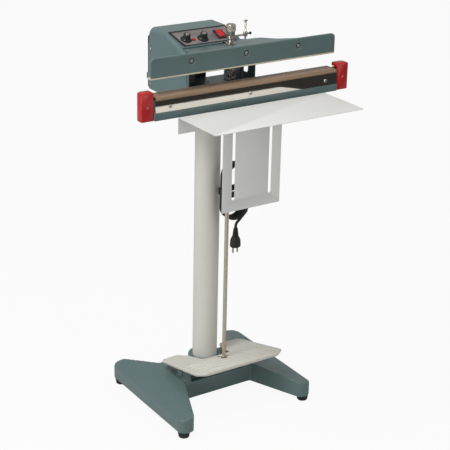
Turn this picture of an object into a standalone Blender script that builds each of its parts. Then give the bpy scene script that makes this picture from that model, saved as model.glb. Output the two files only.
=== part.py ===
"""Foot-operated impulse heat sealer on a pedestal, modelled piece by piece.

Metres, +Z up, +X to the operator's left-to-right, -Y towards the operator.
Everything is laid out about the post: x = 0 and y = 0 are the post's axis and z = 0 is the floor.
One empty then carries the whole machine back by POST_Y, so that the origin is the bottom centre of its box.
Every moving piece has its own origin on its joint's axis.
"""
import math

import bmesh
import bpy
from mathutils import Matrix, Vector

# ---------------------------------------------------------------- driving dimensions
GAP = 0.0003                 # clearance left between touching pieces

SEAL_HALF = 0.250            # half the jaw length (an 18 inch seal with its margins)
POST_RADIUS = 0.0315         # 2.5 inch tube
POST_WALL = 0.0025
FOOT_HEIGHT = 0.015
HEAD_FLOOR = 0.800           # underside of the head
TABLE_TOP = 0.8115
TABLE_HALF = 0.200
TABLE_FRONT = -0.340
TABLE_BACK = -0.1905
BASE_HALF = 0.195
BASE_FRONT = -0.212
BASE_BACK = 0.145
POST_Y = -(TABLE_FRONT + BASE_BACK) / 2

# upper arm: a casting that swings on a shaft at the back of the head
ARM_PIVOT_Y = 0.050
ARM_PIVOT_Z = 0.890
ARM_SHAFT_RADIUS = 0.006
UPPER_FRONT = -0.157
UPPER_BOTTOM = 0.894
UPPER_TOP = 0.941
UPPER_DEPTH = 0.020
WEB_SLOPE = 0.170
WEB_THICK = 0.008
WEB_BACK = -0.030

# lower jaw: fixed to the head
LOWER_FRONT = -0.174
LOWER_BACK = -0.131
LOWER_BOTTOM = 0.8045
LIP_TOP = 0.8225
LOWER_TOP = 0.852
SEAL_TOP = 0.858

# foot linkage
ROD_Y = -0.090
ROD_RADIUS = 0.005
PEDAL_PIVOT_Y = -0.042
PEDAL_PIVOT_Z = 0.082
PEDAL_SHAFT_RADIUS = 0.005
PEDAL_FRONT_Y = -0.172
PEDAL_FRONT_Z = 0.142
PEDAL_SLOPE = 0.245
PEDAL_THICK = 0.005
ROD_EYE_Z = 0.095

# head and its cover
HEAD_LEFT = -0.118
HEAD_RIGHT = 0.100
HEAD_BACK = 0.083
COVER_RIGHT = 0.045
SHEET = 0.002
PANEL_LOW = (-0.057, 0.926)  # y, z of the panel slope's lower edge
PANEL_HIGH = (0.003, 0.951)  # y, z of its upper edge

# mains lead
LEAD_RADIUS = 0.0035
HANK_CENTRE = (0.042, -0.056)
HANK_TOP = 0.6258
HANK_BOTTOM = 0.4782
HANK_WIDTH = 0.066
HANK_THICK = 0.040
LEAD_ROUTE = [
    (0.0580, -0.0460, 0.7695), (0.0581, -0.0460, 0.7520), (0.0587, -0.0457, 0.7340),
    (0.0602, -0.0452, 0.7160), (0.0625, -0.0446, 0.6980), (0.0652, -0.0441, 0.6800),
    (0.0677, -0.0438, 0.6620), (0.0696, -0.0436, 0.6440), (0.0707, -0.0436, 0.6205),
]
TAIL_ROUTE = [
    (0.0560, -0.0640, 0.4779), (0.0530, -0.0605, 0.4718), (0.0506, -0.0572, 0.4652),
    (0.0496, -0.0560, 0.4590), (0.0495, -0.0560, 0.4533),
]
PLUG_X = 0.0495
PLUG_TOP = 0.453

# ---------------------------------------------------------------- scene and materials
for old in list(bpy.data.objects):
    bpy.data.objects.remove(old, do_unlink=True)

PARTS = bpy.data.collections.new("impulse_heat_sealer")
bpy.context.scene.collection.children.link(PARTS)

FINISHES = {
    "hammertone": ((0.10, 0.15, 0.15), 0.35, 0.3),
    "light_grey": ((0.60, 0.59, 0.55), 0.4, 0.0),
    "off_white": ((0.72, 0.72, 0.70), 0.35, 0.0),
    "nickel": ((0.70, 0.66, 0.58), 0.25, 1.0),
    "steel": ((0.55, 0.55, 0.55), 0.3, 1.0),
    "dark_steel": ((0.10, 0.09, 0.08), 0.15, 1.0),
    "black": ((0.015, 0.015, 0.015), 0.5, 0.0),
    "red": ((0.55, 0.02, 0.02), 0.4, 0.0),
    "cloth": ((0.25, 0.16, 0.09), 0.5, 0.0),
    "silicone": ((0.65, 0.60, 0.50), 0.6, 0.0),
    "copper": ((0.60, 0.28, 0.15), 0.4, 1.0),
    "board": ((0.03, 0.15, 0.06), 0.5, 0.0),
    "panel": ((0.22, 0.20, 0.19), 0.4, 0.0),
}


def make_finish(name):
    """A Principled material of the named finish, made once."""
    found = bpy.data.materials.get(name)
    if found:
        return found
    colour, roughness, metallic = FINISHES[name]
    made = bpy.data.materials.new(name)
    made.use_nodes = True
    shader = made.node_tree.nodes["Principled BSDF"]
    shader.inputs["Base Color"].default_value = (*colour, 1.0)
    shader.inputs["Roughness"].default_value = roughness
    shader.inputs["Metallic"].default_value = metallic
    return made


ROOT = bpy.data.objects.new("machine", None)
ROOT.location = (0, POST_Y, 0)
PARTS.objects.link(ROOT)

FIXED = (0, 0, 0)
ARM = (0, ARM_PIVOT_Y, ARM_PIVOT_Z)
ROD = (0, ROD_Y, ROD_EYE_Z)
PEDAL = (0, PEDAL_PIVOT_Y, PEDAL_PIVOT_Z)
TABLE = (0, TABLE_BACK, TABLE_TOP)


# ---------------------------------------------------------------- shape helpers
def from_bmesh(name, bm):
    mesh = bpy.data.meshes.new(name)
    bm.to_mesh(mesh)
    bm.free()
    obj = bpy.data.objects.new(name, mesh)
    PARTS.objects.link(obj)
    return obj


def box(low, high, name="box"):
    """A block between two corners."""
    low, high = Vector(low), Vector(high)
    bm = bmesh.new()
    bmesh.ops.create_cube(bm, size=1.0)
    size = Matrix.Diagonal((*(high - low), 1.0))
    bmesh.ops.transform(bm, matrix=Matrix.Translation((low + high) / 2) @ size, verts=bm.verts)
    return from_bmesh(name, bm)


def rod(start, end, radius, sides=20, end_radius=None, name="rod"):
    """A straight round bar, or a cone, from one point to another."""
    start, end = Vector(start), Vector(end)
    along = end - start
    bm = bmesh.new()
    bmesh.ops.create_cone(bm, cap_ends=True, segments=sides, radius1=radius,
                          radius2=radius if end_radius is None else end_radius, depth=along.length)
    turn = along.to_track_quat("Z", "Y").to_matrix().to_4x4()
    bmesh.ops.transform(bm, matrix=Matrix.Translation((start + end) / 2) @ turn, verts=bm.verts)
    return from_bmesh(name, bm)


def evaluated(obj):
    """The object's mesh with its modifiers applied, welded and in place of the old object data."""
    bpy.context.view_layer.update()
    graph = bpy.context.evaluated_depsgraph_get()
    mesh = bpy.data.meshes.new_from_object(obj.evaluated_get(graph))
    bm = bmesh.new()
    bm.from_mesh(mesh)
    bmesh.ops.remove_doubles(bm, verts=bm.verts, dist=1e-6)
    bm.to_mesh(mesh)
    bm.free()
    return mesh


def bake(obj):
    """Replace the object by a plain mesh object of its evaluated shape."""
    mesh = evaluated(obj)
    mesh.transform(obj.matrix_world)
    fresh = bpy.data.objects.new(obj.name, mesh)
    PARTS.objects.link(fresh)
    bpy.data.objects.remove(obj, do_unlink=True)
    return fresh


def plate(outline, low, high, axis="Z", name="plate"):
    """A flat outline given thickness from low to high along an axis.

    The outline is in (x, y) for Z, in (y, z) for X and in (x, z) for Y.
    """
    curve = bpy.data.curves.new(name, "CURVE")
    curve.dimensions = "2D"
    curve.fill_mode = "BOTH"
    curve.extrude = (high - low) / 2
    spline = curve.splines.new("POLY")
    spline.points.add(len(outline) - 1)
    for point, (across, up) in zip(spline.points, outline):
        point.co = (across, up, 0, 1)
    spline.use_cyclic_u = True
    obj = bpy.data.objects.new(name, curve)
    PARTS.objects.link(obj)
    middle = (low + high) / 2
    if axis == "X":
        turn = Matrix(((0, 0, 1, middle), (1, 0, 0, 0), (0, 1, 0, 0), (0, 0, 0, 1)))
    elif axis == "Y":
        turn = Matrix(((1, 0, 0, 0), (0, 0, -1, middle), (0, 1, 0, 0), (0, 0, 0, 1)))
    else:
        turn = Matrix.Translation((0, 0, middle))
    obj.matrix_world = turn
    return bake(obj)


def turned(profile, centre, sides=32, name="turned"):
    """A solid or hollow body of revolution about a vertical axis: (radius, z) points, top to bottom outside."""
    mesh = bpy.data.meshes.new(name)
    edges = [(i, i + 1) for i in range(len(profile) - 1)]
    if profile[0][0] > 0 or profile[-1][0] > 0:
        edges.append((len(profile) - 1, 0))
    mesh.from_pydata([(r, 0, z) for r, z in profile], edges, [])
    obj = bpy.data.objects.new(name, mesh)
    PARTS.objects.link(obj)
    obj.location = (centre[0], centre[1], 0)
    screw = obj.modifiers.new("turn", "SCREW")
    screw.axis = "Z"
    screw.steps = sides
    screw.render_steps = sides
    screw.use_merge_vertices = True
    screw.merge_threshold = 0.00005
    return bake(obj)


def wire(route, radius, resolution=2, name="wire"):
    """A round wire along a list of points."""
    curve = bpy.data.curves.new(name, "CURVE")
    curve.dimensions = "3D"
    curve.bevel_depth = radius
    curve.bevel_resolution = resolution
    curve.use_fill_caps = True
    spline = curve.splines.new("POLY")
    spline.points.add(len(route) - 1)
    for point, place in zip(spline.points, route):
        point.co = (*place, 1)
    obj = bpy.data.objects.new(name, curve)
    PARTS.objects.link(obj)
    return bake(obj)


def combine(obj, others, operation):
    for other in others:
        tool = obj.modifiers.new(operation, "BOOLEAN")
        tool.operation = operation
        tool.solver = "EXACT"
        tool.object = other
        obj = bake(obj)
        bpy.data.objects.remove(other, do_unlink=True)
    return obj


def join(obj, *others):
    return combine(obj, others, "UNION")


def cut(obj, *others):
    return combine(obj, others, "DIFFERENCE")


def group(*objs):
    """Several separate solids in one object."""
    bm = bmesh.new()
    for obj in objs:
        bm.from_mesh(obj.data)
        bpy.data.objects.remove(obj, do_unlink=True)
    return from_bmesh("group", bm)


def bevel(obj, width, segments=2, angle=50):
    edge = obj.modifiers.new("bevel", "BEVEL")
    edge.width = width
    edge.segments = segments
    edge.limit_method = "ANGLE"
    edge.angle_limit = math.radians(angle)
    return bake(obj)


def moved(obj, matrix):
    obj.data.transform(matrix)
    return obj


def finish(obj, name, finish_name, pivot=FIXED):
    """Name the piece, give it its finish, put its origin on its joint's axis and hang it on the machine."""
    obj.data.transform(Matrix.Translation(-Vector(pivot)))
    obj.location = pivot
    obj.name = name
    obj.data.name = name
    obj.parent = ROOT
    obj.data.materials.clear()
    obj.data.materials.append(make_finish(finish_name))
    obj.data.shade_smooth()
    obj.data.set_sharp_from_angle(angle=math.radians(35))
    return obj


def rounded(corners, steps=4):
    """Outline points from (u, v, radius) corners, with an arc at each corner that has a radius."""
    points = []
    count = len(corners)
    for i, (u, v, radius) in enumerate(corners):
        here = Vector((u, v))
        if radius <= 0:
            points.append((u, v))
            continue
        before = (Vector(corners[i - 1][:2]) - here).normalized()
        after = (Vector(corners[(i + 1) % count][:2]) - here).normalized()
        half = before.angle(after) / 2
        reach = radius / math.tan(half)
        centre = here + (before + after).normalized() * (radius / math.sin(half))
        start = here + before * reach - centre
        end = here + after * reach - centre
        sweep = math.atan2(start.x * end.y - start.y * end.x, start.dot(end))
        for k in range(steps + 1):
            turn = sweep * k / steps
            across = start.x * math.cos(turn) - start.y * math.sin(turn)
            up = start.x * math.sin(turn) + start.y * math.cos(turn)
            points.append((centre.x + across, centre.y + up))
    return points


def inset(corners, distance):
    """The same corners moved inwards by a distance, for an outline listed counter-clockwise."""
    count = len(corners)
    result = []
    for i, (u, v, radius) in enumerate(corners):
        here = Vector((u, v))
        first = (here - Vector(corners[i - 1][:2])).normalized()
        second = (Vector(corners[(i + 1) % count][:2]) - here).normalized()
        normal_a = Vector((-first.y, first.x))
        normal_b = Vector((-second.y, second.x))
        corner = here + (normal_a + normal_b) * (distance / (1 + normal_a.dot(normal_b)))
        result.append((corner.x, corner.y, max(radius - distance, 0)))
    return result


def hex_bolt(centre, axis, across, head, shank, length, sides=12):
    """A bolt: a hexagon head that stands out along axis from centre, and a shank the other way."""
    centre, axis = Vector(centre), Vector(axis).normalized()
    top = rod(centre, centre + axis * head, across / math.sqrt(3), 6)
    stem = rod(centre + axis * head * 0.5, centre - axis * length, shank, sides)
    return join(top, stem)


def web_top(y):
    """Height of the arm's top surface at a depth y, arm open."""
    return UPPER_TOP - WEB_SLOPE * (y - UPPER_FRONT)


# ---------------------------------------------------------------- base
FOOT_PLACES = [(sx * 0.178, y) for sx in (-1, 1) for y in (-0.190, 0.124)]
BASE_BOTTOM = FOOT_HEIGHT + GAP
LEG_TIP_TOP = 0.050
LEG_CROWN = 0.19
CASTING_WALL = 0.006
BAR_HALF = 0.100
SOCKET_RADIUS = 0.043
SOCKET_TOP = 0.0945
SOCKET_BOSS = 0.0462
SET_SCREW_Z = 0.0855
SOCKET_FLOOR = 0.031
EAR_INNER = 0.079
EAR_OUTER = 0.096


def leg_corners(side):
    """One side of the base: outer edge straight, inner edges running in to the cross bar."""
    corners = [
        (BASE_HALF, BASE_FRONT, 0.020), (BASE_HALF, BASE_BACK, 0.020), (0.160, BASE_BACK, 0.014),
        (0.101, 0.057, 0), (0.088, 0.055, 0), (0.088, -0.059, 0), (0.098, -0.061, 0), (0.158, -0.206, 0.016),
    ]
    if side < 0:
        corners = [(-u, v, r) for u, v, r in reversed(corners)]
    return corners


def crown(obj):
    """Let the top of a leg rise towards the middle of the base."""
    for vert in obj.data.vertices:
        if vert.co.z > (LEG_TIP_TOP + BASE_BOTTOM) / 2 - 0.010:
            vert.co.z += LEG_CROWN * (BASE_HALF - abs(vert.co.x))
    return obj


def make_base():
    casting = box((-BAR_HALF, -0.066, BASE_BOTTOM + 0.001), (BAR_HALF, 0.062, 0.061))
    casting = cut(casting, box((-BAR_HALF + 0.012, -0.058, 0.034), (BAR_HALF - 0.012, -0.0452, 0.08)))
    for side in (-1, 1):
        corners = leg_corners(side)
        leg = crown(plate(rounded(corners), BASE_BOTTOM, LEG_TIP_TOP))
        leg = bevel(leg, 0.004, 2)
        casting = join(casting, leg)
        ear_outline = rounded([(-0.066, 0.050, 0), (-0.018, 0.050, 0), (-0.024, 0.101, 0.014),
                               (-0.060, 0.101, 0.014)])
        low, high = sorted((side * EAR_INNER, side * EAR_OUTER))
        casting = join(casting, plate(ear_outline, low, high, "X"))
    casting = join(casting, rod((0, 0, 0.020), (0, 0, SOCKET_TOP), SOCKET_RADIUS, 36))
    casting = join(casting, rod((-SOCKET_BOSS, 0, SET_SCREW_Z), (SOCKET_BOSS, 0, SET_SCREW_Z), 0.008, 16))
    casting = cut(casting, rod((0, 0, SOCKET_FLOOR), (0, 0, 0.2), POST_RADIUS + GAP, 36))
    for side in (-1, 1):
        hollow = plate(rounded(inset(leg_corners(side), CASTING_WALL)), 0.0, LEG_TIP_TOP - CASTING_WALL)
        hollow = cut(hollow, box((-0.108, -0.3, -0.1), (0.108, 0.3, 0.2)))
        casting = cut(casting, hollow)
    for x, y in FOOT_PLACES:
        casting = join(casting, rod((x, y, BASE_BOTTOM), (x, y, LEG_TIP_TOP - 0.003), 0.009, 16))
    casting = cut(casting, group(*[rod((x, y, 0.01), (x, y, 0.036), 0.003 + GAP, 12) for x,
                                   y in FOOT_PLACES]))
    casting = cut(casting, rod((-0.12, PEDAL_PIVOT_Y, PEDAL_PIVOT_Z), (0.12, PEDAL_PIVOT_Y, PEDAL_PIVOT_Z),
                               PEDAL_SHAFT_RADIUS + GAP, 20))
    casting = cut(casting, rod((-0.06, 0, SET_SCREW_Z), (0.06, 0, SET_SCREW_Z), 0.004 + GAP, 12))
    finish(casting, "base_casting", "hammertone")


def make_feet():
    for x, y in FOOT_PLACES:
        where = ("rear_" if y > 0 else "front_") + ("right" if x > 0 else "left")
        profile = [(0.0145, FOOT_HEIGHT), (0.0150, 0.012), (0.0130, 0.001), (0.0120, 0.0),
                   (0.0066, 0.0), (0.0066, 0.0065), (0.0034, 0.0065), (0.0034, FOOT_HEIGHT)]
        finish(turned(profile, (x, y), 24), "rubber_foot_" + where, "black")


def make_post():
    top = HEAD_FLOOR - GAP
    bottom = SOCKET_FLOOR + GAP
    bore = POST_RADIUS - POST_WALL
    tube = turned([(POST_RADIUS, top), (POST_RADIUS, bottom), (bore, bottom), (bore, top)], (0, 0), 36)
    finish(tube, "post_tube", "light_grey")


# ---------------------------------------------------------------- head
CORD_HOLE = (0.058, -0.046)
FLANGE_RADIUS = 0.056
FLANGE_BOLT_CIRCLE = 0.046
FLANGE_PLACES = [(FLANGE_BOLT_CIRCLE * math.cos(math.radians(a)),
                  FLANGE_BOLT_CIRCLE * math.sin(math.radians(a)))
                 for a in (60, 120, 180, 240)]
FLOOR_THICK = 0.005
FLOOR_TOP = HEAD_FLOOR + FLOOR_THICK
CHEEK_THICK = 0.0035


def make_flange():
    top = HEAD_FLOOR - GAP
    bore = POST_RADIUS + GAP
    ring = turned([(FLANGE_RADIUS, top), (FLANGE_RADIUS, top - 0.006), (0.038, top - 0.006),
                   (0.037, top - 0.034),
                   (bore, top - 0.034), (bore, top)], (0, 0), 36)
    ring = cut(ring, group(*[rod((x, y, 0.7), (x, y, 0.85), 0.003 + GAP, 12) for x, y in FLANGE_PLACES]))
    finish(ring, "post_flange", "hammertone")


def make_head_frame():
    frame = box((HEAD_LEFT, LOWER_BACK + 0.002, HEAD_FLOOR), (HEAD_RIGHT, HEAD_BACK, FLOOR_TOP))
    left = [(-0.098, HEAD_FLOOR, 0), (HEAD_BACK, HEAD_FLOOR, 0), (HEAD_BACK, 0.912, 0.006),
            (0.0, 0.912, 0.01),
            (-0.040, 0.893, 0.01), (-0.098, 0.888, 0.008)]
    frame = join(frame, plate(rounded(left), HEAD_LEFT, HEAD_LEFT + CHEEK_THICK, "X"))
    right = [(-0.050, HEAD_FLOOR, 0), (HEAD_BACK, HEAD_FLOOR, 0), (HEAD_BACK, 0.912, 0.006),
             (0.024, 0.912, 0.012),
             (0.006, 0.893, 0.006), (-0.050, 0.893, 0.006)]
    frame = join(frame, plate(rounded(right), HEAD_RIGHT - CHEEK_THICK, HEAD_RIGHT, "X"))
    notch = rounded([(-0.021, 0.833, 0.008), (0.004, 0.833, 0.008), (0.004, 0.95, 0), (-0.021, 0.95, 0)])
    frame = cut(frame, plate(notch, HEAD_RIGHT - 0.02, HEAD_RIGHT + 0.02, "X"))
    frame = cut(frame, rod((-0.13, ARM_PIVOT_Y, ARM_PIVOT_Z), (0.13, ARM_PIVOT_Y, ARM_PIVOT_Z),
                           ARM_SHAFT_RADIUS + GAP, 20))
    holes = [rod((x, y, 0.7), (x, y, 0.85), 0.003 + GAP, 12) for x, y in FLANGE_PLACES + MOUNT_BOLTS]
    holes.append(rod((0, ROD_Y, 0.7), (0, ROD_Y, 0.85), 0.009, 20))
    holes.append(rod((*CORD_HOLE, 0.7), (*CORD_HOLE, 0.85), 0.0075, 20))
    frame = cut(frame, group(*holes))
    frame = cut(frame, group(*[rod((HEAD_LEFT - 0.01, y, z), (HEAD_LEFT + 0.01, y, z), 0.002 + GAP, 10)
                               for y, z in COVER_SCREWS]))
    finish(frame, "head_frame", "hammertone")


def slope_point(along, out, x=0.0):
    """A point on the panel slope: along runs up the slope from its lower edge, out stands off it."""
    low, high = Vector(PANEL_LOW), Vector(PANEL_HIGH)
    way = (high - low).normalized()
    place = low + way * along + Vector((-way.y, way.x)) * out
    return Vector((x, place.x, place.y))


SLOPE_ANGLE = math.atan2(PANEL_HIGH[1] - PANEL_LOW[1], PANEL_HIGH[0] - PANEL_LOW[0])
SLOPE_LENGTH = (Vector(PANEL_HIGH) - Vector(PANEL_LOW)).length


def slope_box(x_low, x_high, along_low, along_high, out_low, out_high):
    """A block laid on the panel slope."""
    block = box((x_low, along_low, out_low), (x_high, along_high, out_high))
    turn = Matrix.Rotation(SLOPE_ANGLE, 4, "X")
    return moved(block, Matrix.Translation((0, *PANEL_LOW)) @ turn)


def make_cover():
    outer = HEAD_LEFT - GAP - SHEET
    side_outline = rounded([(-0.100, HEAD_FLOOR, 0), (HEAD_BACK, HEAD_FLOOR, 0), (HEAD_BACK, 0.951, 0.024),
                            (*PANEL_HIGH, 0.008), (*PANEL_LOW, 0.02), (-0.100, 0.9105, 0.006)])
    cover = plate(side_outline, outer, COVER_RIGHT, "X")
    inner = rounded([(-0.2, 0.70, 0), (HEAD_BACK + 0.01, 0.70, 0), (HEAD_BACK + 0.01, 0.924, 0),
                     (HEAD_BACK - SHEET, 0.924, 0), (HEAD_BACK - SHEET, 0.951 - SHEET, 0.022),
                     (PANEL_HIGH[0], PANEL_HIGH[1] - SHEET, 0.006),
                     (PANEL_LOW[0] - 0.002, PANEL_LOW[1] - SHEET - 0.0008, 0), (-0.2, 0.90, 0)])
    cover = cut(cover, plate(inner, outer + SHEET, COVER_RIGHT - SHEET, "X"))
    right = COVER_RIGHT + 0.01
    cover = cut(cover, box((outer + SHEET, -0.2, 0.7), (right, PANEL_LOW[0], 1.0)))
    cover = cut(cover, box((0.0, -0.2, 0.7), (right, WEB_BACK + 0.006, 0.9275)))
    cover = cut(cover, box((0.0, -0.2, 0.7), (right, 0.2, 0.9125)))
    cover = cut(cover, group(*[rod(slope_point(a, -0.02, x), slope_point(a, 0.02, x), r, 16)
                               for x, a, r in PANEL_HOLES]))
    rocker_hole = slope_box(ROCKER_X - 0.0105, ROCKER_X + 0.0105, ROCKER_ALONG - 0.0145,
                            ROCKER_ALONG + 0.0145,
                            -0.02, 0.02)
    cover = cut(cover, rocker_hole)
    screw_holes = [rod((outer - 0.01, y, z), (outer + 0.02, y, z), 0.002 + GAP, 10) for y, z in COVER_SCREWS]
    finish(cut(cover, group(*screw_holes)), "control_cover", "hammertone")


COVER_SCREWS = [(-0.080, 0.812), (0.070, 0.812), (0.070, 0.897)]
# panel controls: x, distance up the slope
SEAL_KNOB = (-0.085, 0.027)
LAMP = (-0.0665, 0.0225)
COOL_KNOB = (-0.0415, 0.023)
ROCKER_X, ROCKER_ALONG = 0.010, 0.030
KNOB_RADIUS = 0.0125
STEM_RADIUS = 0.003
PANEL_HOLES = [(*SEAL_KNOB, 0.0042), (*COOL_KNOB, 0.0042), (*LAMP, 0.0034)]
PANEL_THICK = 0.0012
# bolts through the lower jaw's foot and the head floor
MOUNT_BOLTS = [(-0.080, -0.085), (-0.045, -0.112), (0.045, -0.112), (0.080, -0.085)]


def make_back_plate():
    outline = rounded([(HEAD_LEFT, 0.8035, 0), (COVER_RIGHT, 0.8035, 0), (COVER_RIGHT, 0.928, 0.006),
                       (HEAD_LEFT, 0.928, 0.006)])
    finish(plate(outline, HEAD_BACK + GAP, HEAD_BACK + GAP + 0.002, "Y"), "back_plate", "black")


def make_panel():
    sheet = slope_box(-0.116, 0.040, 0.004, SLOPE_LENGTH - 0.003, GAP, GAP + PANEL_THICK)
    sheet = cut(sheet, group(*[rod(slope_point(a, -0.02, x), slope_point(a, 0.02, x), r, 16)
                               for x, a, r in PANEL_HOLES]))
    hole = slope_box(ROCKER_X - 0.0105, ROCKER_X + 0.0105, ROCKER_ALONG - 0.0145, ROCKER_ALONG + 0.0145,
                     -0.01, 0.01)
    finish(cut(sheet, hole), "panel_plate", "panel")
    face = 2 * GAP + PANEL_THICK
    for name, (x, along) in (("seal_timer_knob", SEAL_KNOB), ("cooling_timer_knob", COOL_KNOB)):
        axis = slope_point(along, face, x)
        skirt = rod(slope_point(along, face, x), slope_point(along, face + 0.003, x), KNOB_RADIUS, 28,
                    KNOB_RADIUS * 0.95)
        grip = rod(slope_point(along, face + 0.002, x), slope_point(along, face + 0.015, x),
                   KNOB_RADIUS * 0.72, 24,
                   KNOB_RADIUS * 0.62)
        stem = rod(slope_point(along, -0.0027, x), slope_point(along, face + 0.002, x), STEM_RADIUS, 12)
        finish(join(skirt, grip, stem), name, "black", axis)
    lamp_x, lamp_along = LAMP
    dome = rod(slope_point(lamp_along, face, lamp_x), slope_point(lamp_along, face + 0.004, lamp_x), 0.0045,
               16, 0.003)
    stem = rod(slope_point(lamp_along, -0.008, lamp_x), slope_point(lamp_along, face + 0.001, lamp_x), 0.003,
               12)
    finish(join(dome, stem), "indicator_lamp", "red")
    bezel = slope_box(ROCKER_X - 0.0125, ROCKER_X + 0.0125, ROCKER_ALONG - 0.0165, ROCKER_ALONG + 0.0165,
                      face, face + 0.002)
    body = slope_box(ROCKER_X - 0.010, ROCKER_X + 0.010, ROCKER_ALONG - 0.014, ROCKER_ALONG + 0.014,
                     -0.008, face + 0.001)
    bezel = join(bezel, body)
    pocket = slope_box(ROCKER_X - 0.0085, ROCKER_X + 0.0085, ROCKER_ALONG - 0.0125, ROCKER_ALONG + 0.0125,
                       -0.0055, 0.02)
    finish(cut(bezel, pocket), "switch_bezel", "black")
    centre = slope_point(ROCKER_ALONG, ROCKER_PIVOT_OUT, ROCKER_X)
    half = 0.0112
    top = [(-half, -0.002), (half, -0.002), (half, 0.0062), (0.0, 0.0036), (-half, 0.0036)]
    rocker = plate(top, -0.0080, 0.0080, "X")
    tilt = Matrix.Translation(centre) @ Matrix.Rotation(SLOPE_ANGLE, 4, "X")
    finish(moved(rocker, tilt), "power_rocker", "red", centre)


ROCKER_PIVOT_OUT = 0.0015


def make_electrics():
    core = box((-0.104, -0.030, FLOOR_TOP + GAP), (-0.058, 0.034, FLOOR_TOP + 0.050))
    core = cut(core, box((-0.110, -0.018, FLOOR_TOP + 0.012), (-0.050, -0.004, FLOOR_TOP + 0.040)),
               box((-0.110, 0.008, FLOOR_TOP + 0.012), (-0.050, 0.022, FLOOR_TOP + 0.040)))
    finish(core, "transformer_core", "dark_steel")
    coil = box((-0.108, -0.018 + GAP, FLOOR_TOP + 0.012 + GAP),
               (-0.054, 0.022 - GAP, FLOOR_TOP + 0.040 - GAP))
    slot = box((-0.104 - GAP, -0.004 - GAP, 0.8), (-0.058 + GAP, 0.008 + GAP, 0.9))
    finish(cut(coil, slot), "transformer_coil", "copper")
    board = slope_box(-0.094, -0.014, 0.036, 0.061, -0.0118, -0.0102)
    finish(board, "timer_board", "board")
    switch = box((0.060, -0.044, FLOOR_TOP + GAP), (0.072, -0.020, FLOOR_TOP + 0.018))
    lever = box((0.062, -0.044, FLOOR_TOP + 0.016), (0.070, -0.041, FLOOR_TOP + 0.060))
    finish(join(switch, lever), "trip_microswitch", "black")


# ---------------------------------------------------------------- lower jaw
LOWER_FOOT_TOP = 0.828
LOWER_FOOT_BACK = -0.050


def make_lower_jaw():
    ends = SEAL_HALF
    profile = rounded([(LOWER_FRONT, LOWER_BOTTOM, 0.002), (LOWER_BACK, LOWER_BOTTOM, 0.002),
                       (LOWER_BACK, LOWER_TOP, 0.003), (LOWER_FRONT + 0.003, LOWER_TOP, 0.001),
                       (LOWER_FRONT + 0.003, LIP_TOP, 0), (LOWER_FRONT, LIP_TOP, 0.001)], 3)
    jaw = plate(profile, -ends, ends, "X")
    jaw = cut(jaw, box((-ends + 0.012, LOWER_FRONT + 0.012, 0.70), (ends - 0.012, LOWER_BACK - 0.006, 0.842)))
    jaw = join(jaw, box((HEAD_LEFT + 0.018, LOWER_BACK - 0.008, FLOOR_TOP + GAP),
                        (HEAD_RIGHT, LOWER_FOOT_BACK, LOWER_FOOT_TOP)))
    jaw = cut(jaw, rod((0, ROD_Y, 0.7), (0, ROD_Y, 0.9), 0.009, 20))
    jaw = cut(jaw, group(*[rod((x, y, 0.7), (x, y, 0.9), 0.003 + GAP, 12) for x, y in MOUNT_BOLTS]))
    screws = [rod((x, LOWER_FRONT - 0.01, STRIP_SCREW_Z), (x, LOWER_FRONT + 0.0115, STRIP_SCREW_Z),
                  0.002 + GAP, 10)
              for x in STRIP_SCREWS]
    jaw = cut(jaw, group(*screws))
    jaw = cut(jaw, group(*[rod((x, BRACKET_SCREW_Y, 0.79), (x, BRACKET_SCREW_Y, 0.816), 0.002 + GAP, 10)
                           for x in BRACKET_SCREWS]))
    finish(jaw, "lower_jaw", "hammertone")
    for word, (x, y) in (("left", MOUNT_BOLTS[0]), ("right", MOUNT_BOLTS[3])):
        bolt = hex_bolt((x, y, LOWER_FOOT_TOP + GAP), (0, 0, 1), 0.011, 0.005, 0.003, 0.034)
        finish(bolt, "jaw_mount_bolt_" + word, "steel")


BRACKET_SCREWS = (-0.060, 0.060)
BRACKET_SCREW_Y = -0.168
STRIP_SCREWS = (-0.210, 0.002, 0.215)
STRIP_SCREW_Z = 0.834
STRIP_FRONT = LOWER_FRONT - 0.0002
CAP_OUTER = 0.283
CAP_FRONT, CAP_BACK = -0.172, -0.146
CAP_BOTTOM, CAP_TOP = 0.805, 0.870
CAP_SCREW = (0.267, 0.837)


def make_seal_stack():
    strip = box((-SEAL_HALF + 0.002, STRIP_FRONT, LIP_TOP + GAP),
                (SEAL_HALF - 0.002, LOWER_FRONT + 0.003 - GAP, 0.8495))
    holes = [rod((x, LOWER_FRONT - 0.01, STRIP_SCREW_Z), (x, LOWER_FRONT + 0.01, STRIP_SCREW_Z), 0.002 + GAP,
                 10)
             for x in STRIP_SCREWS]
    finish(cut(strip, group(*holes)), "cloth_clamp_strip", "dark_steel")
    heater = box((-0.240, -0.164, LOWER_TOP + GAP), (0.240, -0.140, 0.8562))
    finish(heater, "heater_bar", "silicone")
    finish(box((-0.238, -0.1545, 0.8565), (0.238, -0.1495, 0.8570)), "heating_element", "nickel")
    cloth = cloth_outline(0.0) + list(reversed(cloth_outline(0.0005)))
    finish(plate(cloth, -SEAL_HALF + 0.003, SEAL_HALF - 0.003, "X"), "release_cloth", "cloth")


def cloth_outline(depth):
    """Section of the release cloth, front edge to back edge, at a depth under its outer face."""
    front, back, top = LOWER_FRONT + 0.0005 + depth, -0.1315 - depth, SEAL_TOP - depth
    points = [(front, 0.8498)]
    turns = [math.pi / 2 * k / 4 for k in range(5)]
    for turn in turns:
        points.append((front + 0.006 * (1 - math.cos(turn)), top - 0.006 * (1 - math.sin(turn))))
    for turn in turns:
        points.append((back - 0.004 * (1 - math.sin(turn)), top - 0.004 * (1 - math.cos(turn))))
    points.append((back, 0.8528))
    return points


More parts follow.
